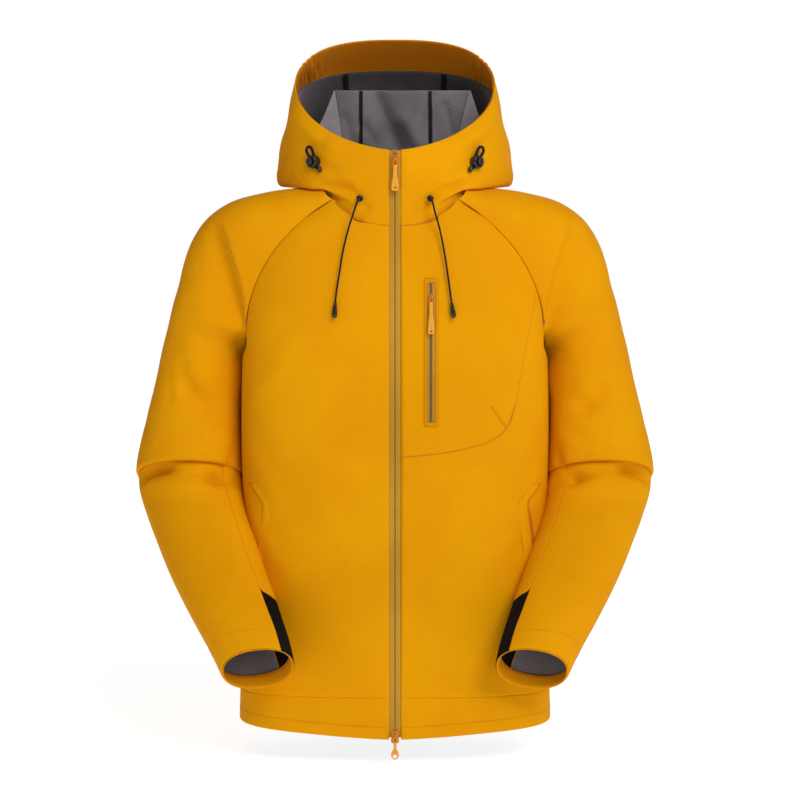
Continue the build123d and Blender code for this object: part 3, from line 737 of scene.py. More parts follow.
# ---- sleeves ----
# The raglan sleeve from the neck down: points on the front and back seams, the outer edge, depth half
# width (0 where the seams set it), half opening in degrees, and squareness
ARCHES = [
    ((86, 740), (70, 752), (104, 762), 0, 90, 2.6), ((117, 719), (108, 735), (184, 752), 0, 90, 2.8),
    ((141, 698), (138, 712), (234, 737), 0, 90, 3.0), ((165, 671), (163, 687), (268, 711), 0, 90, 3.1),
    ((182, 645), (182, 657), (286, 683), 0, 90, 3.0), ((195, 617), (195, 627), (297, 653), 0, 90, 2.8),
    ((203, 588), (203, 598), (304, 624), 69, 118, 2.6), ((207, 556), (207, 562), (312, 597), 69, 149, 2.5),
]
# Full rings below: inner x, z; outer x, z; depth half width; middle y; tilt; squareness
UPPER_ARM = [
    (211, 524, 321, 563, 68, 2, 0, 2.4), (212, 496, 328, 537, 69, 4, 0, 2.3),
    (214, 458, 339, 487, 69, 5, 2, 2.2),
    (214, 422, 350, 442, 69, 3, 8, 2.2), (213.5, 388, 360, 398, 71, -1, 16, 2.2),
    (213, 366, 365, 370, 73, -4, 21, 2.2), (212.5, 356, 366, 358, 74, -6, 23, 2.2),
]
FOREARM = [
    (226, 388, 350, 388, 52, 4, 20, 2.2), (219, 366, 357, 370, 59, 0, 22, 2.2),
    (215, 352, 361.5, 354, 63, -6, 25, 2.2), (212, 336, 361, 339, 62, -15, 29, 2.2),
    (206, 304, 349, 304, 57, -37, 33, 2.2),
    (193, 268, 332, 270, 54, -66, 36, 2.2), (180, 232, 315, 236, 52, -92, 38, 2.2),
    (165, 197, 296, 203, 50, -116, 39, 2.2), (152, 164, 275, 170, 48, -139, 41, 2.2),
    (141, 135, 250, 130, 46, -159, 43, 2.2), (135, 112, 234, 101, 45.5, -172, 45, 2.2),
]
FOREARM_SEAM = 130.0         # degrees from the outer edge to either seam
FOREARM_ROUND = 330.0
GUSSET_LOW, GUSSET_HIGH = 192.0, 213.0


def power(value, square):
    return np.sign(value) * np.abs(value) ** (2 / square)


def section(middle, reach, depth, tilt, square, turns):
    """Points round one oval section; turn 0 is the outer edge, a right angle the front."""
    tilt = np.radians(tilt)
    fore = depth * np.array((0, -np.cos(tilt), np.sin(tilt)))
    return (middle + power(np.cos(turns), square)[:, None] * reach
            + power(np.sin(turns), square)[:, None] * fore)


def ring(row, turns):
    xi, zi, xo, zo, depth, y, tilt, square = row
    return section(np.array(((xi + xo) / 2, y, (zi + zo) / 2)), np.array(((xo - xi) / 2, 0, (zo - zi) / 2)),
                   depth, tilt, square, turns)


def arch(row, at_shares):
    """One open section whose two ends lie on the raglan seams."""
    (xf, zf), (xb, zb), (xo, zo), depth, opening, square = row
    front, back = body(front_angle(xf, zf), zf), body(back_angle(xb, zb), zb)
    end = np.radians(opening)
    seam = (front + back) / 2
    outer = np.array((xo, seam[1], zo))
    cosine = float(power(np.cos(np.array(end)), square)) if opening > 90 else 0.0
    reach = (outer - seam) / (1 - cosine)
    middle = outer - reach
    depth = depth or (back[1] - front[1]) / 2
    turns = end * at_shares
    points = section(middle, reach, depth, 0, square, turns)
    for target, last, way in ((front, -1, 1), (back, 0, -1)):
        near = smoothstep(way * at_shares, 0.35, 1.0)
        points = points + near[:, None] * (target - points[last])
    return points


def even_columns(rows, count):
    """Respace each row's points evenly along its length, of about 300 millimetres."""
    near = np.array(TURNED_EDGE) / 300
    share = np.concatenate(([0], near, np.linspace(0, 1, count)[1:-1], 1 - near[::-1], [1]))
    out = []
    for row in rows:
        run = chords(row)
        out.append(np.stack([np.interp(share, run, row[:, k]) for k in range(3)], axis=-1))
    return np.array(out)


def lofted(rows, pitch):
    """A smooth surface through the rows, in even steps of about the pitch."""
    knots = distances(rows[:, rows.shape[1] // 2])
    return spline(shares(knots[-1], pitch) * knots[-1], knots, rows)


SLEEVE_FOLDS = [
    # start, end, width, depth on the wearer's left sleeve; the right sleeve's are a little deeper
    # the small three-cornered fold inside the elbow
    ((232, -58, 364), (216, -48, 398), 9, 6.0), ((248, -68, 362), (230, -58, 384), 6, -3.0),
    # the folds down the front and over the back
    ((298, -64, 508), (286, -66, 476), 13, 4.5), ((286, -66, 476), (262, -66, 456), 14, 5.0),
    ((262, -66, 456), (240, -66, 462), 14, 4.0), ((282, -66, 500), (262, -66, 488), 14, -3.0),
    ((230, -60, 430), (262, -66, 408), 10, 3.0), ((262, -70, 392), (322, -60, 404), 9, 2.0),
    ((318, -52, 500), (312, -54, 462), 6, 2.6), ((336, -40, 404), (352, -20, 430), 9, 2.6),
    ((300, -60, 560), (318, -50, 520), 18, 2.0),
    ((222, -56, 470), (240, -66, 440), 9, 2.4), ((240, 70, 500), (300, 70, 430), 16, 3.0),
    ((240, 70, 420), (330, 60, 400), 12, 3.0), ((230, -66, 600), (280, -66, 590), 22, 1.6),
    ((214, -44, 560), (232, -64, 500), 10, 3.0), ((218, 40, 560), (236, 66, 500), 10, 3.0),
]
FOREARM_FOLDS = [
    # the hollows under the elbow's fold at the outer and the inner end, and the rise between them
    ((356, -36, 354), (314, -70, 371), 8, 15.0), ((350, -50, 364), (328, -66, 372), 8, 10.0),
    ((278, -80, 370), (246, -70, 356), 8, 14.0), ((246, -70, 360), (218, -50, 352), 10, 7.0),
    ((276, -76, 350), (306, -78, 350), 18, -4.0),
    ((226, -58, 372), (262, -66, 350), 9, 3.0), ((300, -84, 322), (352, -60, 330), 10, 2.2),
    ((300, -100, 250), (250, -110, 262), 14, 1.6),
    ((276, -130, 220), (236, -140, 236), 12, 1.6), ((240, -170, 170), (210, -170, 190), 12, 1.5),
    ((208, -200, 128), (222, -196, 150), 7, 1.2), ((190, -202, 124), (200, -202, 146), 6, 1.2),
    ((330, -40, 300), (340, -20, 330), 12, 2.0), ((330, 20, 340), (260, 50, 345), 14, 2.6),
]

# The chest's cloth stands over the sleeve along this line of x, z, and the sleeve falls away behind it
ARMHOLE_FOLD = [(243, 716), (232, 688), (222, 655), (213, 620), (207, 588), (205, 550), (204, 500),
                (204, 440)]


def fall_away(grid, depth):
    """Set the front of the sleeve back just outside the armhole fold."""
    line = np.array(ARMHOLE_FOLD[::-1], float)
    outside = np.maximum(grid[..., 0] - np.interp(grid[..., 2], line[:, 1], line[:, 0]), 0)
    away = np.exp(-outside / 34) * (1 - np.exp(-outside / 4.5))
    reach = smoothstep(grid[..., 2], 400, 520) * (1 - smoothstep(grid[..., 2], 690, 722))
    front = smoothstep(-grid[..., 1], 5, 50)
    out = grid.copy()
    out[..., 1] += depth * away * reach * front
    return out


def make_upper_sleeve(name, side):
    """The sleeve from the elbow up, its columns from the front seam over to the back seam."""
    share = np.linspace(-1, 1, 73)
    rows = [arch(row, share) for row in ARCHES] + [ring(row, np.pi * share) for row in UPPER_ARM]
    grid = fall_away(lofted(even_columns(rows, 76), 5.5)[::-1, ::-1], 20.0)
    deeper = 1.0 if side > 0 else 1.15
    grid = folded(grid, [(start, end, width, depth * deeper) for start, end, width, depth in SLEEVE_FOLDS])
    # the lower edge rolls under and is tucked up inside
    upward = np.array((0.0, 0.06, 1.0))
    inward = unit(grid[0].mean(axis=0) - grid[0])
    tuck = [grid[0] + inward * reach + upward * rise
            for reach, rise in ((14.0, 22.0), (13.0, 10.0), (9.0, 1.0), (4.5, -4.0), (1.3, -3.2))]
    grid = np.concatenate((np.array(tuck), grid), axis=0)
    obj = cloth(f"sleeve_{name}", placed(grid, side), side, roll=(0, 0.6, 0.6, 0.6))
    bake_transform(obj)


def forearm_rows(start, end, pitch):
    """The forearm's sections from one turn to another, in degrees."""
    turns = np.radians(start + (end - start) * shares(abs(end - start) / 360 * FOREARM_ROUND, pitch))
    return np.array([ring(row, turns) for row in FOREARM])


def make_forearm(name, side):
    grid = folded(lofted(forearm_rows(FOREARM_SEAM, -FOREARM_SEAM, 5.0), 5.5)[::-1], FOREARM_FOLDS)
    obj = cloth(f"forearm_{name}", placed(grid, side), side, roll=(1.6, 0, 0.7, 0.7))
    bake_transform(obj)
    # the panel underneath is cut across by the top of the stretch gusset
    rows = forearm_rows(360 - FOREARM_SEAM, FOREARM_SEAM, 4.5)
    knots = distances(rows[:, rows.shape[1] // 2])
    inner_share = 1 - np.abs(np.linspace(-1, 1, rows.shape[1]))
    cut_z = GUSSET_HIGH + (GUSSET_LOW - GUSSET_HIGH) * smoothstep(inner_share, 0.0, 1.0)
    fine = np.linspace(0, knots[-1], 400)
    dense = folded(spline(fine, knots, rows)[::-1], FOREARM_FOLDS)[::-1]
    cut = np.array([np.interp(-cut_z[j], -dense[:, j, 2], fine) for j in range(dense.shape[1])])

    def between(start, end):
        steps = shares(float((end - start).mean()), 5.0)
        columns = [np.stack([np.interp(start[j] + (end[j] - start[j]) * steps, fine, dense[:, j, k])
                             for k in range(3)], axis=-1) for j in range(dense.shape[1])]
        return placed(np.stack(columns, axis=1)[::-1], side)

    under = cloth(f"under_{name}", between(np.zeros_like(cut), cut), side, roll=(0.5, 0, 0.7, 0.7))
    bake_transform(under)
    gusset = cloth(f"gusset_{name}", between(cut, np.full_like(cut, knots[-1])), side, ("stretch", "stretch"),
                   roll=(1.4, 0.9, 0.9, 0.9))
    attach(gusset, f"forearm_{name}")


for make_part in (make_upper_sleeve, make_forearm):
    for name, side in both_sides():
        make_part(name, side)


# ---- hood and collar ----
# Rings from the neck seam to the brow: half width, back y, z at front, side and back
HOOD_RINGS = [
    (119, 116, 732, 773, 768), (162, 176, 752, 764, 764), (168.5, 190, 766, 778, 790),
    (163, 182, 778, 822, 846), (154, 160, 790, 856, 900), (147.5, 124, 800, 884, 944),
]
# The neck seam from the zip to the back middle: degrees, then a point a little inside the body's neck
NECK_SEAM = np.array([(0, 0, -121.4, 697), (5, 8.0, -121.4, 697), (19, 34, -121, 699), (34, 62, -116.5, 711),
                      (47, 86, -100, 731), (68, 98, -60, 750), (92, 102, -10, 756), (118, 96, 45, 755),
                      (140, 70, 84, 746), (158, 40, 92, 742), (180, 0, 95, 740)], float)
HOOD_SHARES = (0.0, 0.12, 0.26, 0.36, 0.54, 0.72, 0.87, 1.0)
RIM_MIDDLE, RIM_WIDTH, RIM_DROP, RIM_RISE = 886.0, 136.0, 80.0, 69.0
# The seam between the hood's front piece and its crown: share of the wall's height, degrees round it
HOOD_SEAM = [(0.0, 50), (0.12, 47), (0.26, 48), (0.36, 52), (0.54, 62), (0.72, 74), (0.87, 83), (1.0, 88)]


def hood_ring(row, degrees):
    width, back, z_front, z_side, z_back = row
    turn = np.radians(degrees)
    s, c = np.sin(turn), np.cos(turn)
    middle, reach = (back + FRONT_Y) / 2, (back - FRONT_Y) / 2
    x = np.sign(s) * width * np.abs(s) ** 0.85
    y = middle - reach * np.sign(c) * np.abs(c) ** 0.85
    mean = (z_front + z_back) / 2
    z = (mean + z_side) / 2 + (z_front - z_back) / 2 * c + (mean - z_side) / 2 * np.cos(2 * turn)
    return np.stack([x, y, z], axis=-1)


def neck_seam(degrees):
    turn = (np.asarray(degrees, float) + 180) % 360 - 180
    points = spline(np.abs(turn).ravel(), NECK_SEAM[:, 0], NECK_SEAM[:, 1:]).reshape(turn.shape + (3,))
    points[..., 0] *= np.sign(turn)
    return points


def rim(degrees):
    """The hood's opening: a deep bow below, a flatter one above, leaning back towards the crown."""
    turn = np.radians(degrees)
    s, c = np.sin(turn), np.cos(turn)
    y = -20 - 102 * c
    lower = c > 0
    roundness = np.where(lower, 2 / 1.7, 2 / 2.6)
    x = np.sign(s) * RIM_WIDTH * np.abs(s) ** roundness
    z = RIM_MIDDLE + np.where(lower, -RIM_DROP, RIM_RISE) * np.abs(c) ** roundness
    away = (y - EYE_Y) / TRUE_SIZE_AT
    return np.stack([x * away, y, EYE_Z + (z - EYE_Z) * away], axis=-1)


def hood(share, degrees):
    """Points on the hood wall; share 0 is the neck seam and 1 the rim. Near the zip it is one straight wall.
    Degrees are one row for all shares, or a row for each."""
    share = np.asarray(share, float)
    degrees = np.broadcast_to(degrees, (len(share), np.shape(degrees)[-1]))
    rows = np.array([neck_seam(degrees)] + [hood_ring(row, degrees) for row in HOOD_RINGS] + [rim(degrees)])
    free = np.stack([spline(share[k:k + 1], HOOD_SHARES, rows[:, k])[0] for k in range(len(share))])
    straight = rows[0] * (1 - share[:, None, None]) + rows[-1] * share[:, None, None]
    turn = np.abs((degrees + 180) % 360 - 180)
    away = smoothstep(turn, 17, 41)[..., None]
    return straight * (1 - away) + free * away


HOOD_FOLDS = [
    # the crease from the hood's lower edge to each eyelet, and the small puckers round it
    ((-100, -92, 760), (-66, -118, 756), 7, 7.5), ((-66, -118, 756), (-54, -121, 745), 5, 7.0),
    ((100, -92, 760), (70, -118, 753), 7, 7.0), ((70, -118, 753), (48, -121, 741), 5, 7.5),
    ((48, -121, 739), (26, -122, 728), 6, 4.6), ((-50, -121, 740), (-38, -122, 726), 6, 3.2),
    ((-88, -106, 770), (-62, -119, 768), 9, -3.0), ((88, -106, 770), (62, -119, 766), 9, -3.0),
    ((44, -122, 730), (50, -122, 712), 6, 2.6), ((62, -120, 738), (44, -122, 722), 5, -2.0),
    ((-44, -122, 730), (-50, -122, 712), 6, 2.2), ((-60, -120, 742), (-76, -110, 724), 8, 2.4),
    # pulls round the cord locks
    ((-120, -84, 800), (-84, -106, 778), 8, 3.2), ((122, -82, 804), (84, -106, 782), 8, 2.8),
    ((-128, -64, 830), (-100, -92, 812), 11, 2.6), ((126, -66, 826), (104, -88, 812), 11, 2.6),
    ((-104, -98, 822), (-84, -110, 838), 9, 2.0), ((104, -98, 826), (88, -110, 842), 9, 2.0),
    ((-140, -20, 880), (-152, 20, 850), 14, 2.6), ((140, -20, 880), (152, 20, 850), 14, 2.4),
    ((-150, -30, 800), (-166, 30, 792), 12, 3.0), ((150, -30, 800), (166, 30, 792), 12, 3.0),
    # the slack of the crown, behind
    ((-90, 150, 870), (90, 150, 866), 24, 7.0), ((-120, 120, 830), (-10, 182, 822), 18, 4.0),
    ((120, 120, 836), (30, 180, 812), 18, 4.0), ((-60, 140, 905), (40, 150, 915), 18, 3.0),
    ((-150, 60, 840), (-130, 130, 800), 16, 4.0), ((150, 60, 846), (134, 130, 804), 16, 4.0),
]
GATHER = 121.0               # degrees round the rim where the elastic draws it in


def brim_pucker(grid, share, degrees, size=2.4):
    """Puckers where the brim's elastic ends, at the two upper corners, fading below the rim."""
    turn = np.abs((np.asarray(degrees) + 180) % 360 - 180)
    share = np.asarray(share)[:, None]
    near = np.exp(-((turn - GATHER) / 10) ** 2) * smoothstep(share, 0.78, 0.94)
    wave = np.sin(np.radians(turn - GATHER) * 62 + 2.2 * np.sin(share * 22))
    wave = wave + 0.5 * np.sin(np.radians(turn) * 31 + 1.0)
    depth = size * wave * (0.3 + 0.7 * (1 - smoothstep(share, 0.965, 1.0))) - 1.0
    return grid + grid_normals(grid) * (depth * near)[..., None]


def seam_degrees(share):
    table = np.array(HOOD_SEAM, float)
    return spline(share, table[:, 0], table[:, 1])


HOOD_JOINT = ("torso", "hood", at(0, -112, 770), at(0, -20, 770))


def make_hood():
    for name, side in both_sides():
        share = shares(150, 4.0)
        seam = seam_degrees(share)[:, None]
        across = shares(150, 4.0)[None]
        degrees = 5 + (seam - 5) * across
        grid = brim_pucker(hood(share, degrees), share, degrees)
        grid[..., 0] -= (grid[:, :1, 0] - ZIP_EDGE) * (1 - across) ** 2
        grid = placed(grid, side)
        grid = dent(grid, grid_normals(grid) * side, HOOD_FOLDS)
        obj = cloth(f"hood_front_{name}", grid, side, roll=(0.8, 1.4, 1.1, 0.7))
        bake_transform(obj)
    share = shares(245, 5.0)
    seam = seam_degrees(share)[:, None]
    degrees = seam + (360 - 2 * seam) * shares(600, 3.2)[None]
    grid = folded(brim_pucker(hood(share, degrees), share, degrees), HOOD_FOLDS)
    obj = cloth("hood_crown_piece", grid, 1, roll=(0.5, 1.4, 0.7, 0.7))
    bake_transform(obj)


make_hood()


def make_brim_facing():
    """The turned facing inside the brim, its bound edge and its two rows of stitches."""
    degrees = np.linspace(46, 314, 330)
    share = 1 - 0.20 * shares(40, 2.5)[::-1]
    grid = brim_pucker(hood(share, degrees), share, degrees, 3.4)
    turn = np.abs((degrees + 180) % 360 - 180)
    narrow = 0.16 + 0.84 * smoothstep(turn, 52, 96)
    grid = grid[-1:] + (grid - grid[-1:]) * narrow[None, :, None]
    grid = grid - grid_normals(grid) * 3.2
    # the facing takes the shell's colour darkened by painted shade
    facing = cloth("brim_facing", grid, 1, ("shell_painted_shade", "shell_painted_shade"), thickness=1.0, roll=(-1.2, -0.3, 0, 0))
    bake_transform(facing)
    normal = grid_normals(grid)
    wide = (degrees > 78) & (degrees < 282)
    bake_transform(tube("brim_edge", grid[0, wide] - normal[0, wide] * 1.4, 1.5, "shell_edge"))
    for row in (4, 5):
        line = grid[row] - normal[row] * 1.9
        stitch_line("brim_stitches", line[4:-4], 4.2, 3.0, 0.42)


def make_hood_lining():
    degrees = np.linspace(44, 316, 150)
    share = np.linspace(0.3, 0.86, 40)
    grid = hood(share, degrees)
    grid = grid - grid_normals(grid) * 5.0
    inward = 9.0 * smoothstep(share, 0.30, 0.45) * (1 - smoothstep(share, 0.70, 0.84))
    back = smoothstep(np.abs((degrees + 180) % 360 - 180), 90, 130)
    grid = grid - grid_normals(grid) * (inward[:, None] * back[None])[..., None]
    ripple = [((-70, 140, 905), (-36, 150, 870), 14, 6.0), ((70, 140, 905), (40, 150, 868), 14, 6.0),
              ((0, 150, 910), (16, 160, 866), 13, 5.0), ((-128, 40, 884), (-116, 80, 850), 14, 4.0),
              ((128, 40, 884), (116, 80, 850), 14, 4.0), ((-30, 150, 915), (-20, 150, 900), 9, -3.0)]
    grid = folded(grid, ripple)
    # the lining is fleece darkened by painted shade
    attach(cloth("hood_lining_piece", grid, 1, ("fleece_painted_shade", "fleece_painted_shade"), thickness=1.0, roll=FLAT),
            "hood")
    lifted = grid - grid_normals(grid) * 1.7
    for name, side in both_sides():
        j = int(np.argmin(np.abs(degrees - (180 - side * 27.0))))
        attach(cloth(f"crown_tape_{name}", lifted[:, j - 1:j + 2], 1, ("binding",), thickness=0.7,
                      roll=(0, 0, 0.3, 0.3)), "hood")


make_brim_facing()
make_hood_lining()

# The lining's fold stands up inside the hood behind the neck: a wall with two turned-back sides
STAND_FOOT, STAND_TOP = 796.0, 903.0
# Height, then x of the stand's right and left fold and of its outer edges beyond them
STAND = np.array([(903, -86, 107, -87, 108), (872, -81, 98, -99, 118), (839, -76, 90, -114, 130),
                  (796, -66, 80, -126, 140)], float)[::-1]


def make_stand():
    heights = np.concatenate((np.linspace(STAND_FOOT, STAND_TOP - 2.5, 34), [STAND_TOP - 1, STAND_TOP]))
    right, left, out_right, out_left = spline(heights, STAND[:, 0], STAND[:, 1:]).T
    run = np.linspace(0, 1, 96)
    drop = (STAND_TOP - heights) / (STAND_TOP - STAND_FOOT)
    grid = np.zeros((len(heights), len(run), 3))
    grid[..., 0] = right[:, None] + (left - right)[:, None] * run[None]
    grid[..., 1] = 57 + 3 * np.sin(np.pi * run)[None] + 10 * drop[:, None]
    grid[..., 2] = heights[:, None]
    soft = [((-30, 60, 902), (4, 62, 818), 13, 11.0), ((46, 58, 902), (34, 60, 868), 10, 6.0),
            ((-46, 60, 852), (-26, 60, 826), 8, 5.0), ((16, 62, 858), (36, 62, 824), 12, -8.0),
            ((72, 58, 880), (82, 60, 840), 6, 4.0), ((-72, 58, 862), (-60, 60, 826), 8, 4.0)]
    grid = folded(grid, soft)
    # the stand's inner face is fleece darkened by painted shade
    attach(cloth("hood_stand", grid, 1, ("fleece", "fleece_painted_shade"), thickness=1.8, roll=(0, 1.6, 0, 0),
                  crease=3.0), "hood")
    normal = grid_normals(grid)
    span = np.linspace(0, 1, 14)
    for name, edge, inner, outer in (("right", grid[:, 0], right, out_right),
                                     ("left", grid[:, -1], left, out_left)):
        flap = np.zeros((len(heights), len(span), 3))
        flap[..., 0] = inner[:, None] + (outer - inner)[:, None] * span[None]
        flap[..., 1] = edge[:, None, 1] - 0.5 * np.abs(outer - inner)[:, None] * span[None]
        flap[..., 2] = heights[:, None]
        flap = flap[6:] if name == "left" else flap[6:, ::-1]
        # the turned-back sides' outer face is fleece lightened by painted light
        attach(cloth(f"stand_side_{name}", flap, 1, ("fleece_painted_light", "fleece"), thickness=1.6,
                      roll=(0, 0.8, 0.4, 0.4)), "hood")
    for name, place in (("right", -49), ("left", 51)):
        middle = np.array([np.interp(place, row[:, 0], row[:, 1]) for row in grid])
        j = int(np.argmin(np.abs(grid[20, :, 0] - place)))
        strip = np.zeros((len(grid), 3, 3))
        strip[..., 0] = place + np.array((-2.9, 0, 2.9))
        strip[..., 1] = middle[:, None] - 1.0
        strip[..., 2] = grid[:, :1, 2]
        strip[-1] = strip[-2] + (0, 1.5, 0.8)
        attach(cloth(f"stand_tape_{name}", strip, 1, ("binding",), thickness=0.9, roll=(0, 0, 0.4, 0.4)),
                "hood")
        for side in (-1, 1):
            line = strip[1:-2, 1] + normal[1:-2, j] * 0.5 + np.array((side * 1.9, 0, 0))
            stitch_line("stand_stitches", line, 3.2, 2.0, 0.45)


make_stand()


# ---- zips ----
def rounded_blocks(name, parts, slot, body_name, bevel):
    """Rounded blocks in one object: each part is a centre and a size."""
    corners = np.array([(dx, dy, dz) for dz in (-1, 1) for dx, dy in ((-1, -1), (1, -1), (1, 1), (-1, 1))])
    vertices, faces = [], []
    for centre, size in parts:
        base = len(vertices)
        vertices += list(np.array(centre, float) + np.array(size, float) / 2 * corners)
        faces += stack_faces(2, 4, base)
    obj = new_object(name, vertices, faces, [slot], smooth=False)
    modifier = obj.modifiers.new("edge", "BEVEL")
    modifier.width = bevel * MM
    modifier.segments = 2
    modifier.limit_method = "NONE"
    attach(obj, body_name)


MAIN_ZIP = (3.0, 803.0)
TAPE_Y = FRONT_Y + 2.0
# One loop of a coil from its outer end across the join: share of the reach, of the thickness and of the pitch
COIL_LOOP = [(1, 0.5, 0.0), (0.95, -0.35, 0.12), (0.45, -0.62, 0.0), (-0.12, -0.5, 0.0), (-0.18, 0.1, 0.0)]


def coil(name, x, y, z_from, z_to, reach, thick, pitch):
    """Moulded coil: one loop after another leaning across the join, mirrored to the other side."""
    vertices, faces = [], []
    turns = np.linspace(0, 2 * np.pi, 6, endpoint=False)
    for k in range(int((z_to - z_from) / pitch)):
        for side in (-1, 1):
            z = z_from + pitch * (k + (0.25 if side > 0 else 0.75))
            faces += stack_faces(len(COIL_LOOP), len(turns), len(vertices))
            vertices += [(x + side * reach * out + 0.1 * np.cos(turn),
                          y + thick * (off + 0.42 * np.cos(turn)), z + pitch * (up + 0.33 * np.sin(turn)))
                         for out, off, up in COIL_LOOP for turn in turns]
    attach(new_object(name, vertices, faces, ["coil"]), "torso")


# A tape's section from the join outwards: distance from the middle, and height off the tape's plane
TAPE_SECTION = [(0.55, 0.9), (0.7, 0.0), (1.3, -0.55), (2.0, -0.1), (2.7, 0.15), (3.6, 0.0), (4.4, -0.35),
                (5.2, 0.1), (6.4, 0.2)]


def zip_tapes(name, x, half, z_from, z_to, y):
    """Two woven tapes that meet over the coil, each with a ridged edge and a stitched channel."""
    heights = np.linspace(z_from, z_to, int((z_to - z_from) / 6))
    for label, side in both_sides():
        section_points = TAPE_SECTION + [(half, 0.25)]
        grid = np.array([[(x + side * dx, y + dy, z) for dx, dy in section_points] for z in heights])
        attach(cloth(f"{name}_{label}", grid, side, ("zip_tape",), thickness=0.7, roll=FLAT), "torso")
        line = [(x + side * 4.0, y - 0.35, z) for z in (z_from + 2, z_to - 2)]
        stitch_line(f"{name}_stitches", line, 2.6, 1.7, 0.34)
    bead_mesh(f"{name}_stitches", "torso", "zip_stitch", sides=4)


zip_tapes("main_tape", 0.0, 11.0, MAIN_ZIP[0], MAIN_ZIP[1] + 2, TAPE_Y)
coil("main_coil", 0.0, TAPE_Y + 1.5, MAIN_ZIP[0], MAIN_ZIP[1], 2.4, 1.3, 1.7)
rounded_blocks("main_stops", [((side * 1.9, TAPE_Y - 0.4, z), (3.0, 2.6, 4.6)) for side in (-1, 1)
                              for z in (MAIN_ZIP[1] + 0.5, MAIN_ZIP[0] - 2.5)], "slider", "torso", 0.6)


def outline_plate(name, outline, y_front, y_back, slot, body_name, hole=None, crown=0.0):
    """A flat moulded plate of an x, z outline with rounded rims; a round hole is given as x, z, radius."""
    outline = np.array(outline, float)
    middle = outline.mean(axis=0)
    outward = unit(outline - middle)
    inner = middle + (outline - middle) * 0.12
    if hole:
        drill = np.array(hole[:2])
        turns = np.arctan2(*(outline - drill)[:, ::-1].T)
        inner = drill + hole[2] * np.stack([np.cos(turns), np.sin(turns)], axis=1)
    bevel = min(0.45, (y_back - y_front) / 3)
    rings = [(inner, y_front + 0.1), (outline - outward * bevel * 2.2, y_front - crown),
             (outline - outward * bevel, y_front), (outline, y_front + bevel), (outline, y_back - bevel),
             (outline - outward * bevel, y_back), (inner, y_back - 0.05)]
    vertices = [(x, y, z) for line, y in rings for x, z in line]
    obj = new_object(name, vertices, stack_faces(len(rings), len(outline), 0, bool(hole)), [slot])
    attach(obj, body_name)


# Half the slider's outline from its narrow end up, and its raised middle, as shares of their half sizes;
# then the bail over it, as distances in front of the slider and along it
SLIDER_HALF = [(0.42, -1), (0.72, -0.9), (0.84, -0.55), (0.88, 0.1), (1.0, 0.55), (0.92, 0.85), (0.6, 1.0),
               (0.2, 0.86)]
RIDGE = [(-0.7, -1), (0.7, -1), (1, -0.6), (1, 0.6), (0.6, 1), (-0.6, 1), (-1, 0.6), (-1, -0.6)]
BAIL = [(-0.6, 5.4), (-2.6, 5.2), (-4.0, 3.2), (-4.4, 0), (-4.0, -3.2), (-2.6, -5.0), (-0.6, -5.2)]


def slider_piece(name, x, z, scale, up, body_name):
    """The slider: a shield-shaped top plate with a raised middle and side flanges, over the coil."""
    front = TAPE_Y - 2.6

    def plate(part, shape, wide, long, y_front, y_back):
        outline = [(x + wide * scale * a, z + up * long * scale * b) for a, b in shape]
        outline_plate(f"{name}_{part}", outline if up > 0 else outline[::-1], front + y_front, front + y_back,
                      "slider", body_name)

    shield = [(-0.42, -1)] + SLIDER_HALF + [(-a, b) for a, b in SLIDER_HALF[:0:-1]]
    plate("top", shield, 5.6, 8.8, -0.4, 1.4)
    plate("under", shield, 5.6, 8.8, 5.4, 6.8)
    plate("ridge", RIDGE, 2.4, 6.4, -1.5, 0.2)
    bail = through([(x, front + off, z + rise * scale) for off, rise in BAIL], np.linspace(0, 1, 28))
    for label, shift in (("a", -1.15), ("b", 1.15)):
        tube(f"{name}_bail_{label}", bail + (shift * scale, 0, 0), 0.9 * scale, "slider", body_name)


# Half widths down the pull's tab: share of its length, share of its widest; the lower pull ends in a ring
TAB = [(0.0, 0.34), (0.04, 0.52), (0.12, 0.58), (0.26, 0.5), (0.42, 0.62), (0.62, 0.86), (0.8, 1.0),
       (0.93, 0.98), (0.985, 0.8), (1.0, 0.55)]
RING_TAB = [(0.0, 0.3), (0.06, 0.42), (0.3, 0.36), (0.46, 0.5), (0.56, 0.82), (0.7, 1.0), (0.82, 0.95),
            (0.92, 0.7), (1.0, 0.22)]


def pull_piece(name, x, y, z, length, scale, body_name, ring=0.0):
    """The pull: a wire eye round the bail, and a moulded tab that widens downwards round its hole."""
    eye = [(x + 2.9 * scale * math.sin(a), y - 0.4, z - 2.2 * scale + 4.4 * scale * math.cos(a))
           for a in np.linspace(0, 2 * np.pi, 33)[:-1]]
    tube(f"{name}_eye", eye, 0.85 * scale, "slider", body_name, closed=True)
    half = ring + 2.4 if ring else 5.0 * scale
    top = z - 5.6 * scale
    reach = top - (z - length + 1.0)
    shape = RING_TAB if ring else TAB
    outline = [(x - half * wide, top - reach * down) for down, wide in shape]
    outline += [(x + half * wide, top - reach * down) for down, wide in shape[::-1]]
    hole = (x, z - length + (ring + 2.2 if ring else 5.0 * scale), ring or 1.35 * scale)
    outline_plate(f"{name}_tab", outline, y - 1.6 * scale, y + 1.1 * scale, "pull", body_name, hole, 0.25)
    if not ring:
        rib = [(x + half * side, y - out * scale, top - reach * down)
               for side, out, down in ((-0.42, 1.75, 0.50), (0, 1.85, 0.46), (0.42, 1.75, 0.50))]
        tube(f"{name}_rib", through(rib, np.linspace(0, 1, 9)), 0.4 * scale, "pull", body_name)


PIVOT_Y = -127.4
slider_piece("top_slider", 0, 791, 1.0, 1, "upper_slider")
pull_piece("top_pull", 0, PIVOT_Y, 791, 42, 1.0, "upper_pull")
slider_piece("low_slider", 0, 4, 1.0, -1, "bottom_slider")
pull_piece("low_pull", 0, PIVOT_Y, 4, 31, 1.0, "bottom_pull", ring=3.0)

# ---- chest pocket ----
zip_tapes("chest_tape", CHEST_ZIP_X, 7.2, CHEST_ZIP[0], CHEST_ZIP[1], FRONT_Y - 0.2)


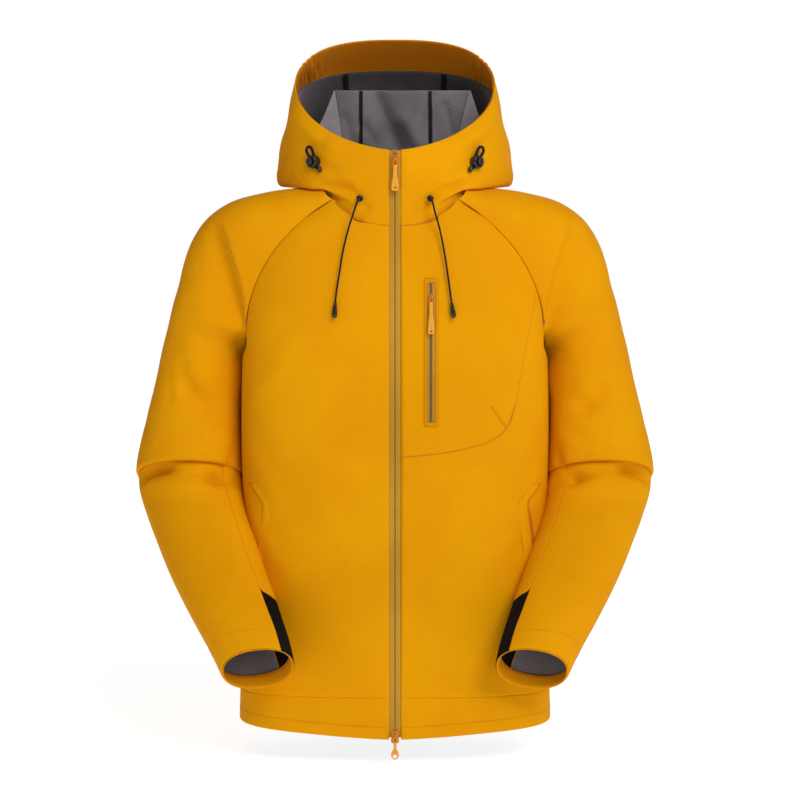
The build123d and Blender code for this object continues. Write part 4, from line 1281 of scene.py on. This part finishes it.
def rounded_frame(width, height, radius):
    """An x, z outline of a rectangle with rounded corners, round its own middle."""
    points = []
    for cx, cz, start in ((1, 1, 0), (-1, 1, 90), (-1, -1, 180), (1, -1, 270)):
        for turn in np.radians(np.linspace(start, start + 90, 7)):
            points.append((cx * (width / 2 - radius) + radius * np.cos(turn),
                           cz * (height / 2 - radius) + radius * np.sin(turn)))
    return np.array(points)


def on_front(x, z, lift):
    """A point in front of the body at x, z."""
    angle = front_angle(x, z)
    return body(angle, z, -lift)


CHEST_MIDDLE = sum(CHEST_ZIP) / 2
CHEST_HEIGHT = CHEST_ZIP[1] - CHEST_ZIP[0]


def round_chest_zip(outline, lift):
    return [on_front(CHEST_ZIP_X + a, CHEST_MIDDLE + b, lift) for a, b in outline]


def make_chest_frame():
    """A flat band of cloth round the chest zip."""
    inner, outer = rounded_frame(12.2, CHEST_HEIGHT - 4, 1.8), rounded_frame(18.6, CHEST_HEIGHT + 8, 2.6)
    grid = np.array([round_chest_zip(inner * (1 - share) + outer * share, lift)
                     for share, lift in ((0, 0.3325), (0.12, 0.95), (0.5, 0.95), (0.88, 0.95), (1, 0.3325))])
    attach(cloth("chest_frame", grid[:, ::-1], -1, ("shell_edge",), ring=True, thickness=0.5, roll=FLAT),
            "torso")


def pocket_bag(name, x_range, z_range, columns, rows, inset, depth, side=1):
    """A mesh bag behind the front, flat at its edges."""
    def swell(value, low, high):
        return math.sin(math.pi * (value - low) / (high - low))

    def behind(x, z):
        return inset + depth * min(1, 3 * swell(x, *x_range) * swell(z, *z_range))

    grid = np.array([[body(front_angle(x, z), z, behind(x, z)) for x in np.linspace(*x_range, columns)]
                     for z in np.linspace(*z_range, rows)])
    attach(cloth(name, placed(grid, side), side, ("mesh",), thickness=0.8), "torso")


make_chest_frame()
coil("chest_coil", CHEST_ZIP_X, FRONT_Y + 0.1, CHEST_ZIP[0] + 1, CHEST_ZIP[1] - 2, 2.2, 1.1, 1.6)
slider_piece("chest_slider_piece", CHEST_ZIP_X, 605, 0.85, 1, "chest_slider")
pull_piece("chest_pull_piece", CHEST_ZIP_X, PIVOT_Y + 0.2, 605, 50, 0.9, "chest_pull")
line = rounded_frame(15.4, CHEST_HEIGHT + 3.0, 2.4)
stitch_line("chest_stitches", round_chest_zip(np.vstack((line, line[:1])), 1.1), 3.2, 2.3, 0.33)
pocket_bag("chest_bag", (30, 150), (440, 600), 24, 30, 5.5, 5)

# ---- hand pockets: a slanted opening whose turned edge stands a little proud ----
POCKET_LINE = [(201, 349), (191, 336), (182.5, 325), (182, 318), (184, 300), (187, 279), (192, 246),
               (199, 206)]


def make_hand_pocket(name, side):
    line = through(POCKET_LINE, np.linspace(0, 1, 40))[::-1]

    def strip(section_points):
        grid = np.array([[on_front(x + dx, z, lift) for dx, lift in section_points] for x, z in line])
        return placed(grid, side)

    welt = strip(((-12.5, -0.9), (-11.0, 0.1), (-8.0, 0.7), (-4.4, 1.35), (-2.2, 1.5), (-0.4, 0.9),
                  (0.6, -1.2)))
    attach(cloth(f"pocket_welt_{name}", welt, side, ("shell", "shell_edge"), thickness=0.9,
                  roll=(0.8, 0.8, 0, 0)), "torso")
    # a strip of painted shadow behind the pocket's opening, in the shell's colour darkened by painted shade
    behind = strip(((-2.5, 0.25), (2, 0.1), (5.5, -0.6)))
    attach(cloth(f"pocket_shadow_{name}", behind, side, ("shell_painted_shade",), thickness=0.6, roll=FLAT), "torso")
    pocket_bag(f"pocket_bag_{name}", (82, 190), (150, 348), 22, 34, 4.5, 9, side)


for name, side in both_sides():
    make_hand_pocket(name, side)

# ---- cord locks, eyelets and the loops they hold ----
# Turned profiles: distance along the axis and radius
LOCK_BARREL = [(-2.8, 4.0), (-2.4, 7.2), (-1.2, 8.2), (0.4, 8.7), (3.0, 8.8), (8.5, 8.7), (10.2, 8.3),
               (11.2, 7.5), (11.6, 6.4), (10.4, 5.4)]
LOCK_BUTTON = [(5.0, 4.4), (12.4, 4.6), (14.4, 4.6), (15.2, 4.2), (15.6, 3.2), (15.4, 2.2)]
TOGGLE = [(-4.0, 2.0), (-3.4, 2.9), (0, 3.3), (3.4, 2.9), (4.0, 2.0)]
EYELET = [(0.0, 2.3), (0.0, 4.6), (1.0, 4.75), (1.9, 4.3), (2.4, 3.4), (2.2, 2.6), (1.2, 2.2)]
# The cord's loop above the barrel and its tail below: along the barrel's up, lean and axis
LOCK_LOOP = [(5.625, -1.15, 0), (10, -0.69, 0.5), (15.625, 0.46, 1.5), (20.25, 3.68, 2.2), (20, 8.51, 2.2),
             (15.5, 10.58, 1.6), (10.5, 8.74, 0.8), (5.625, 5.06, 0)]
LOCK_TAIL = [(-6.25, -2.99, 0), (-9, -6.9, 0.5), (-10, -11.04, 0.8)]
TOGGLE_PLACE = (-10.25, -11.5, 0.8)
EYELET_X, EYELET_Z = 48.0, 740.0


def make_cord_lock(name, side):
    """A ribbed barrel with its sprung button, the cord's loop and tail through it, and the tail's toggle."""
    low, high = (np.array(corner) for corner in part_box(f"cord_lock_body_{name}"))
    joint = next(j for j in frame["joints"] if j["name"] == f"cord_lock_press_{name}")
    axis = -np.array(joint["axis"], float)
    centre = ((low + high) / 2 - SHIFT) / MM - np.array((side * 5.0, 0, 0))
    base = centre - axis * 6.0
    up = unit(np.array((0, 0, 1.0)) - axis * axis[2])
    across = np.cross(up, axis)
    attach(lathe(f"lock_barrel_{name}", base, axis, LOCK_BARREL, "black_plastic", 32), "hood")
    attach(lathe(f"lock_button_{name}", base, axis, LOCK_BUTTON, "black_plastic", 28), f"lock_button_{name}")
    turns = np.linspace(0, 2 * np.pi, 18, endpoint=False)[:, None]
    rim_points = base + 8.75 * (np.cos(turns) * across + np.sin(turns) * up)
    STITCHES[f"lock_ribs_{name}"] = [(rim_points + axis * 1.5, rim_points + axis * 8.5, 0.45)]
    bead_mesh(f"lock_ribs_{name}", "hood", "black_plastic", sides=6)
    directions = np.array((up, across * side, axis))
    middle = base + axis * 4.5
    loop = through(middle + np.array(LOCK_LOOP) @ directions, np.linspace(0, 1, 40))
    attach(tube(f"lock_loop_{name}", loop, 2.1, "cord"), "hood")
    tail = through(middle + np.array(LOCK_TAIL) @ directions, np.linspace(0, 1, 12))
    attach(tube(f"lock_tail_{name}", tail, 2.0, "cord"), "hood")
    toggle = middle + np.array(TOGGLE_PLACE) @ directions
    toggle_axis = up * 1.25 + across * side * 1.15 * 0.25
    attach(lathe(f"lock_toggle_{name}", toggle, toggle_axis, TOGGLE, "black_plastic", 18), "hood")


for name, side in both_sides():
    make_cord_lock(name, side)
    place = (side * EYELET_X, FRONT_Y + 1.2, EYELET_Z)
    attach(lathe(f"eyelet_{name}", place, (0, -1, 0), EYELET, "black_plastic", 28), "torso")


# ---- inside the neck: band, hanger loop and storm flap ----
def make_neck_inside():
    neck_ring = hood_ring(HOOD_RINGS[0], np.linspace(46, 314, 90))
    inward = unit((np.array((0, -15.0, 0)) - neck_ring) * (1, 1, 0))
    band = np.array([neck_ring + inward * 3.2 + (0, 0, rise) for rise in (3, 3.6, 6, 9, 12, 15, 17.6, 18.4)])
    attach(cloth("neck_tape", band, 1, ("binding",), thickness=1.2), "torso")
    loop = through([(-22, 88, 759), (-21.5, 80, 754.5), (-17, 77.5, 752), (0, 77.2, 751.6), (17, 77.5, 752),
                    (21.5, 80, 754.5), (22, 88, 759)], np.linspace(0, 1, 48))
    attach(tube("hanger_loop_cord", loop, 1.5, "cord", sides=12), "torso")
    flap = np.array([[(x, FRONT_Y + 11.0 + 0.6 * math.sin(z / 37) * math.cos(x / 14), z)
                      for x in np.linspace(-24, 24, 13)] for z in np.linspace(20, 795, 90)])
    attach(cloth("storm_flap_piece", flap, 1, ("shell", "fleece"), thickness=1.4), "torso")


make_neck_inside()


# ---- cuffs: the turned facing with its zigzag thread ----
def make_cuff(name, side):
    turns = np.linspace(0, 2 * np.pi, 96, endpoint=False)
    edge = ring(FOREARM[-1], turns)
    upward = unit(ring(FOREARM[-2], turns) - edge)
    inward = unit(edge.mean(axis=0) - edge)
    grid = np.array([edge + upward * rise + inward * inset for rise, inset in
                     ((-0.4, 1.4), (0.6, 2.7), (3, 3.1), (8, 3.2), (13, 3.2), (17, 3.3), (18, 3.0))])
    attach(cloth(f"cuff_facing_piece_{name}", placed(grid[:, ::-1], side), side, ("shell", "shell_edge"),
                  ring=True, thickness=0.9, roll=FLAT), f"forearm_{name}")
    rise = np.where(np.arange(96) % 2, 15.5, 12.5)[:, None]
    zigzag = placed(edge + upward * rise + inward * 4.4, side)
    STITCHES[f"cuff_zigzag_{name}"] = [(zigzag, np.roll(zigzag, -1, axis=0), 0.45)]
    bead_mesh(f"cuff_zigzag_{name}", f"forearm_{name}", "thread_orange")


for name, side in both_sides():
    make_cuff(name, side)

# ---- piping that closes the chest seam and the seam between the front and the hood ----
line = through(on_body(front_line(CHEST_SEAM), -0.75), np.linspace(0, 1, 120))
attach(tube("chest_piping", line, 0.8, "thread"), "torso")
line = through(on_body(front_line(NECK_FRONT), -0.9), np.linspace(0, 1, 40))
for name, side in both_sides():
    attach(tube(f"neck_piping_{name}", placed(line, side), 1.0, "thread"), "torso")

# ---- the short dart that rises from the chest seam ----
dart = on_body(front_line([(131, 457), (136, 449.5), (141.5, 442), (147, 434), (151.5, 428)]), -0.3)
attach(tube("chest_dart", through(dart, np.linspace(0, 1, 16)), 0.9, "shell_edge"), "torso")
stitch_line("chest_stitches", dart + np.array((1.9, -0.5, 1.2)), 4.0, 2.8, 0.36)

# ---- stitch lines ----
HEM_STITCH_RISE = 17
back_end = 2 * math.pi - HEM_SIDE_ANGLE
front_run = np.linspace(HEM_ZIP_ANGLE + 0.01, HEM_SIDE_ANGLE - 0.01, 120)
back_run = np.linspace(HEM_SIDE_ANGLE + 0.01, back_end - 0.01, 260)
front_stitches, back_stitches = (on_body([(a, hem_bottom(a) + HEM_STITCH_RISE) for a in run], 0.1)
                                 for run in (front_run, back_run))
for line in (front_stitches, mirrored(front_stitches), back_stitches):
    stitch_line("hem_stitches", line, 4.4, 3.1, 0.36)
bead_mesh("hem_stitches", "torso", "thread")
bead_mesh("chest_stitches", "torso", "thread")
bead_mesh("brim_stitches", None, "thread", HOOD_JOINT)
# the stand's stitches take the fleece's painted-shade colour
bead_mesh("stand_stitches", "hood", "fleece_painted_shade")
turns = np.radians(np.linspace(FOREARM_SEAM - 3, -FOREARM_SEAM + 3, 120))
cuff_edge, above = ring(FOREARM[-1], turns), ring(FOREARM[-2], turns)
line = cuff_edge * 0.07 + above * 0.93 + unit(cuff_edge - cuff_edge.mean(axis=0)) * 0.1
for name, side in both_sides():
    stitch_line(f"cuff_stitches_{name}", placed(line, side), 4.2, 3.0, 0.36)
    bead_mesh(f"cuff_stitches_{name}", f"forearm_{name}", "thread")

# ---- which CAD node each piece stands for; those nodes are hidden ----
REPLACED = {
    "front_right": ["front_panel_right"], "front_left": ["front_panel_left"],
    "chest_left": ["chest_panel_left"], "back": ["back_panel"], "hem_back": ["hem_band_back"],
    "hood_crown_piece": ["hood_crown"], "brim_facing": ["hood_facing"], "hood_lining_piece": ["hood_lining"],
    "hood_stand": ["hood_inner_stand"], "main_coil": ["zip_teeth_right", "zip_teeth_left"],
    "main_stops": ["zip_stops"], "chest_coil": ["chest_zip_teeth"], "chest_tape_left": ["chest_zip_tape"],
    "chest_frame": ["chest_zip_frame"], "chest_bag": ["chest_pocket_bag"],
    "pocket_bag_left": ["hand_pocket_bags"], "pocket_welt_left": ["hand_pocket_welts"],
    "neck_tape": ["neck_band"], "hanger_loop_cord": ["hanger_loop"], "storm_flap_piece": ["storm_flap"],
    "top_slider_top": ["main_slider"], "top_pull_tab": ["main_pull"], "low_slider_top": ["lower_slider"],
    "low_pull_tab": ["lower_pull"], "chest_slider_piece_top": ["chest_slider"],
    "chest_pull_piece_tab": ["chest_pull"], "eyelet_left": ["drawcord_eyelets"],
    "lock_loop_left": ["cord_lock_loops"],
}
for name, _ in both_sides():
    REPLACED.update({
        f"side_{name}": [f"side_panel_{name}"], f"hem_{name}": [f"hem_band_front_{name}"],
        f"sleeve_{name}": [f"shoulder_panel_{name}", f"sleeve_upper_{name}"],
        f"forearm_{name}": [f"forearm_panel_{name}"], f"under_{name}": [f"forearm_under_panel_{name}"],
        f"gusset_{name}": [f"cuff_gusset_{name}"], f"cuff_facing_piece_{name}": [f"cuff_facing_{name}"],
        f"hood_front_{name}": [f"collar_front_{name}", f"hood_side_{name}"],
        f"main_tape_{name}": [f"zip_tape_{name}"], f"lock_barrel_{name}": [f"cord_lock_body_{name}"],
        f"lock_button_{name}": [f"cord_lock_button_{name}"], f"cord_{name}": [f"drawcord_{name}"],
        f"cord_end_{name}_piece": [f"cord_end_{name}"],
    })
for piece, nodes in REPLACED.items():
    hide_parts(*nodes)

bpy.context.scene.view_settings.view_transform = "Standard"
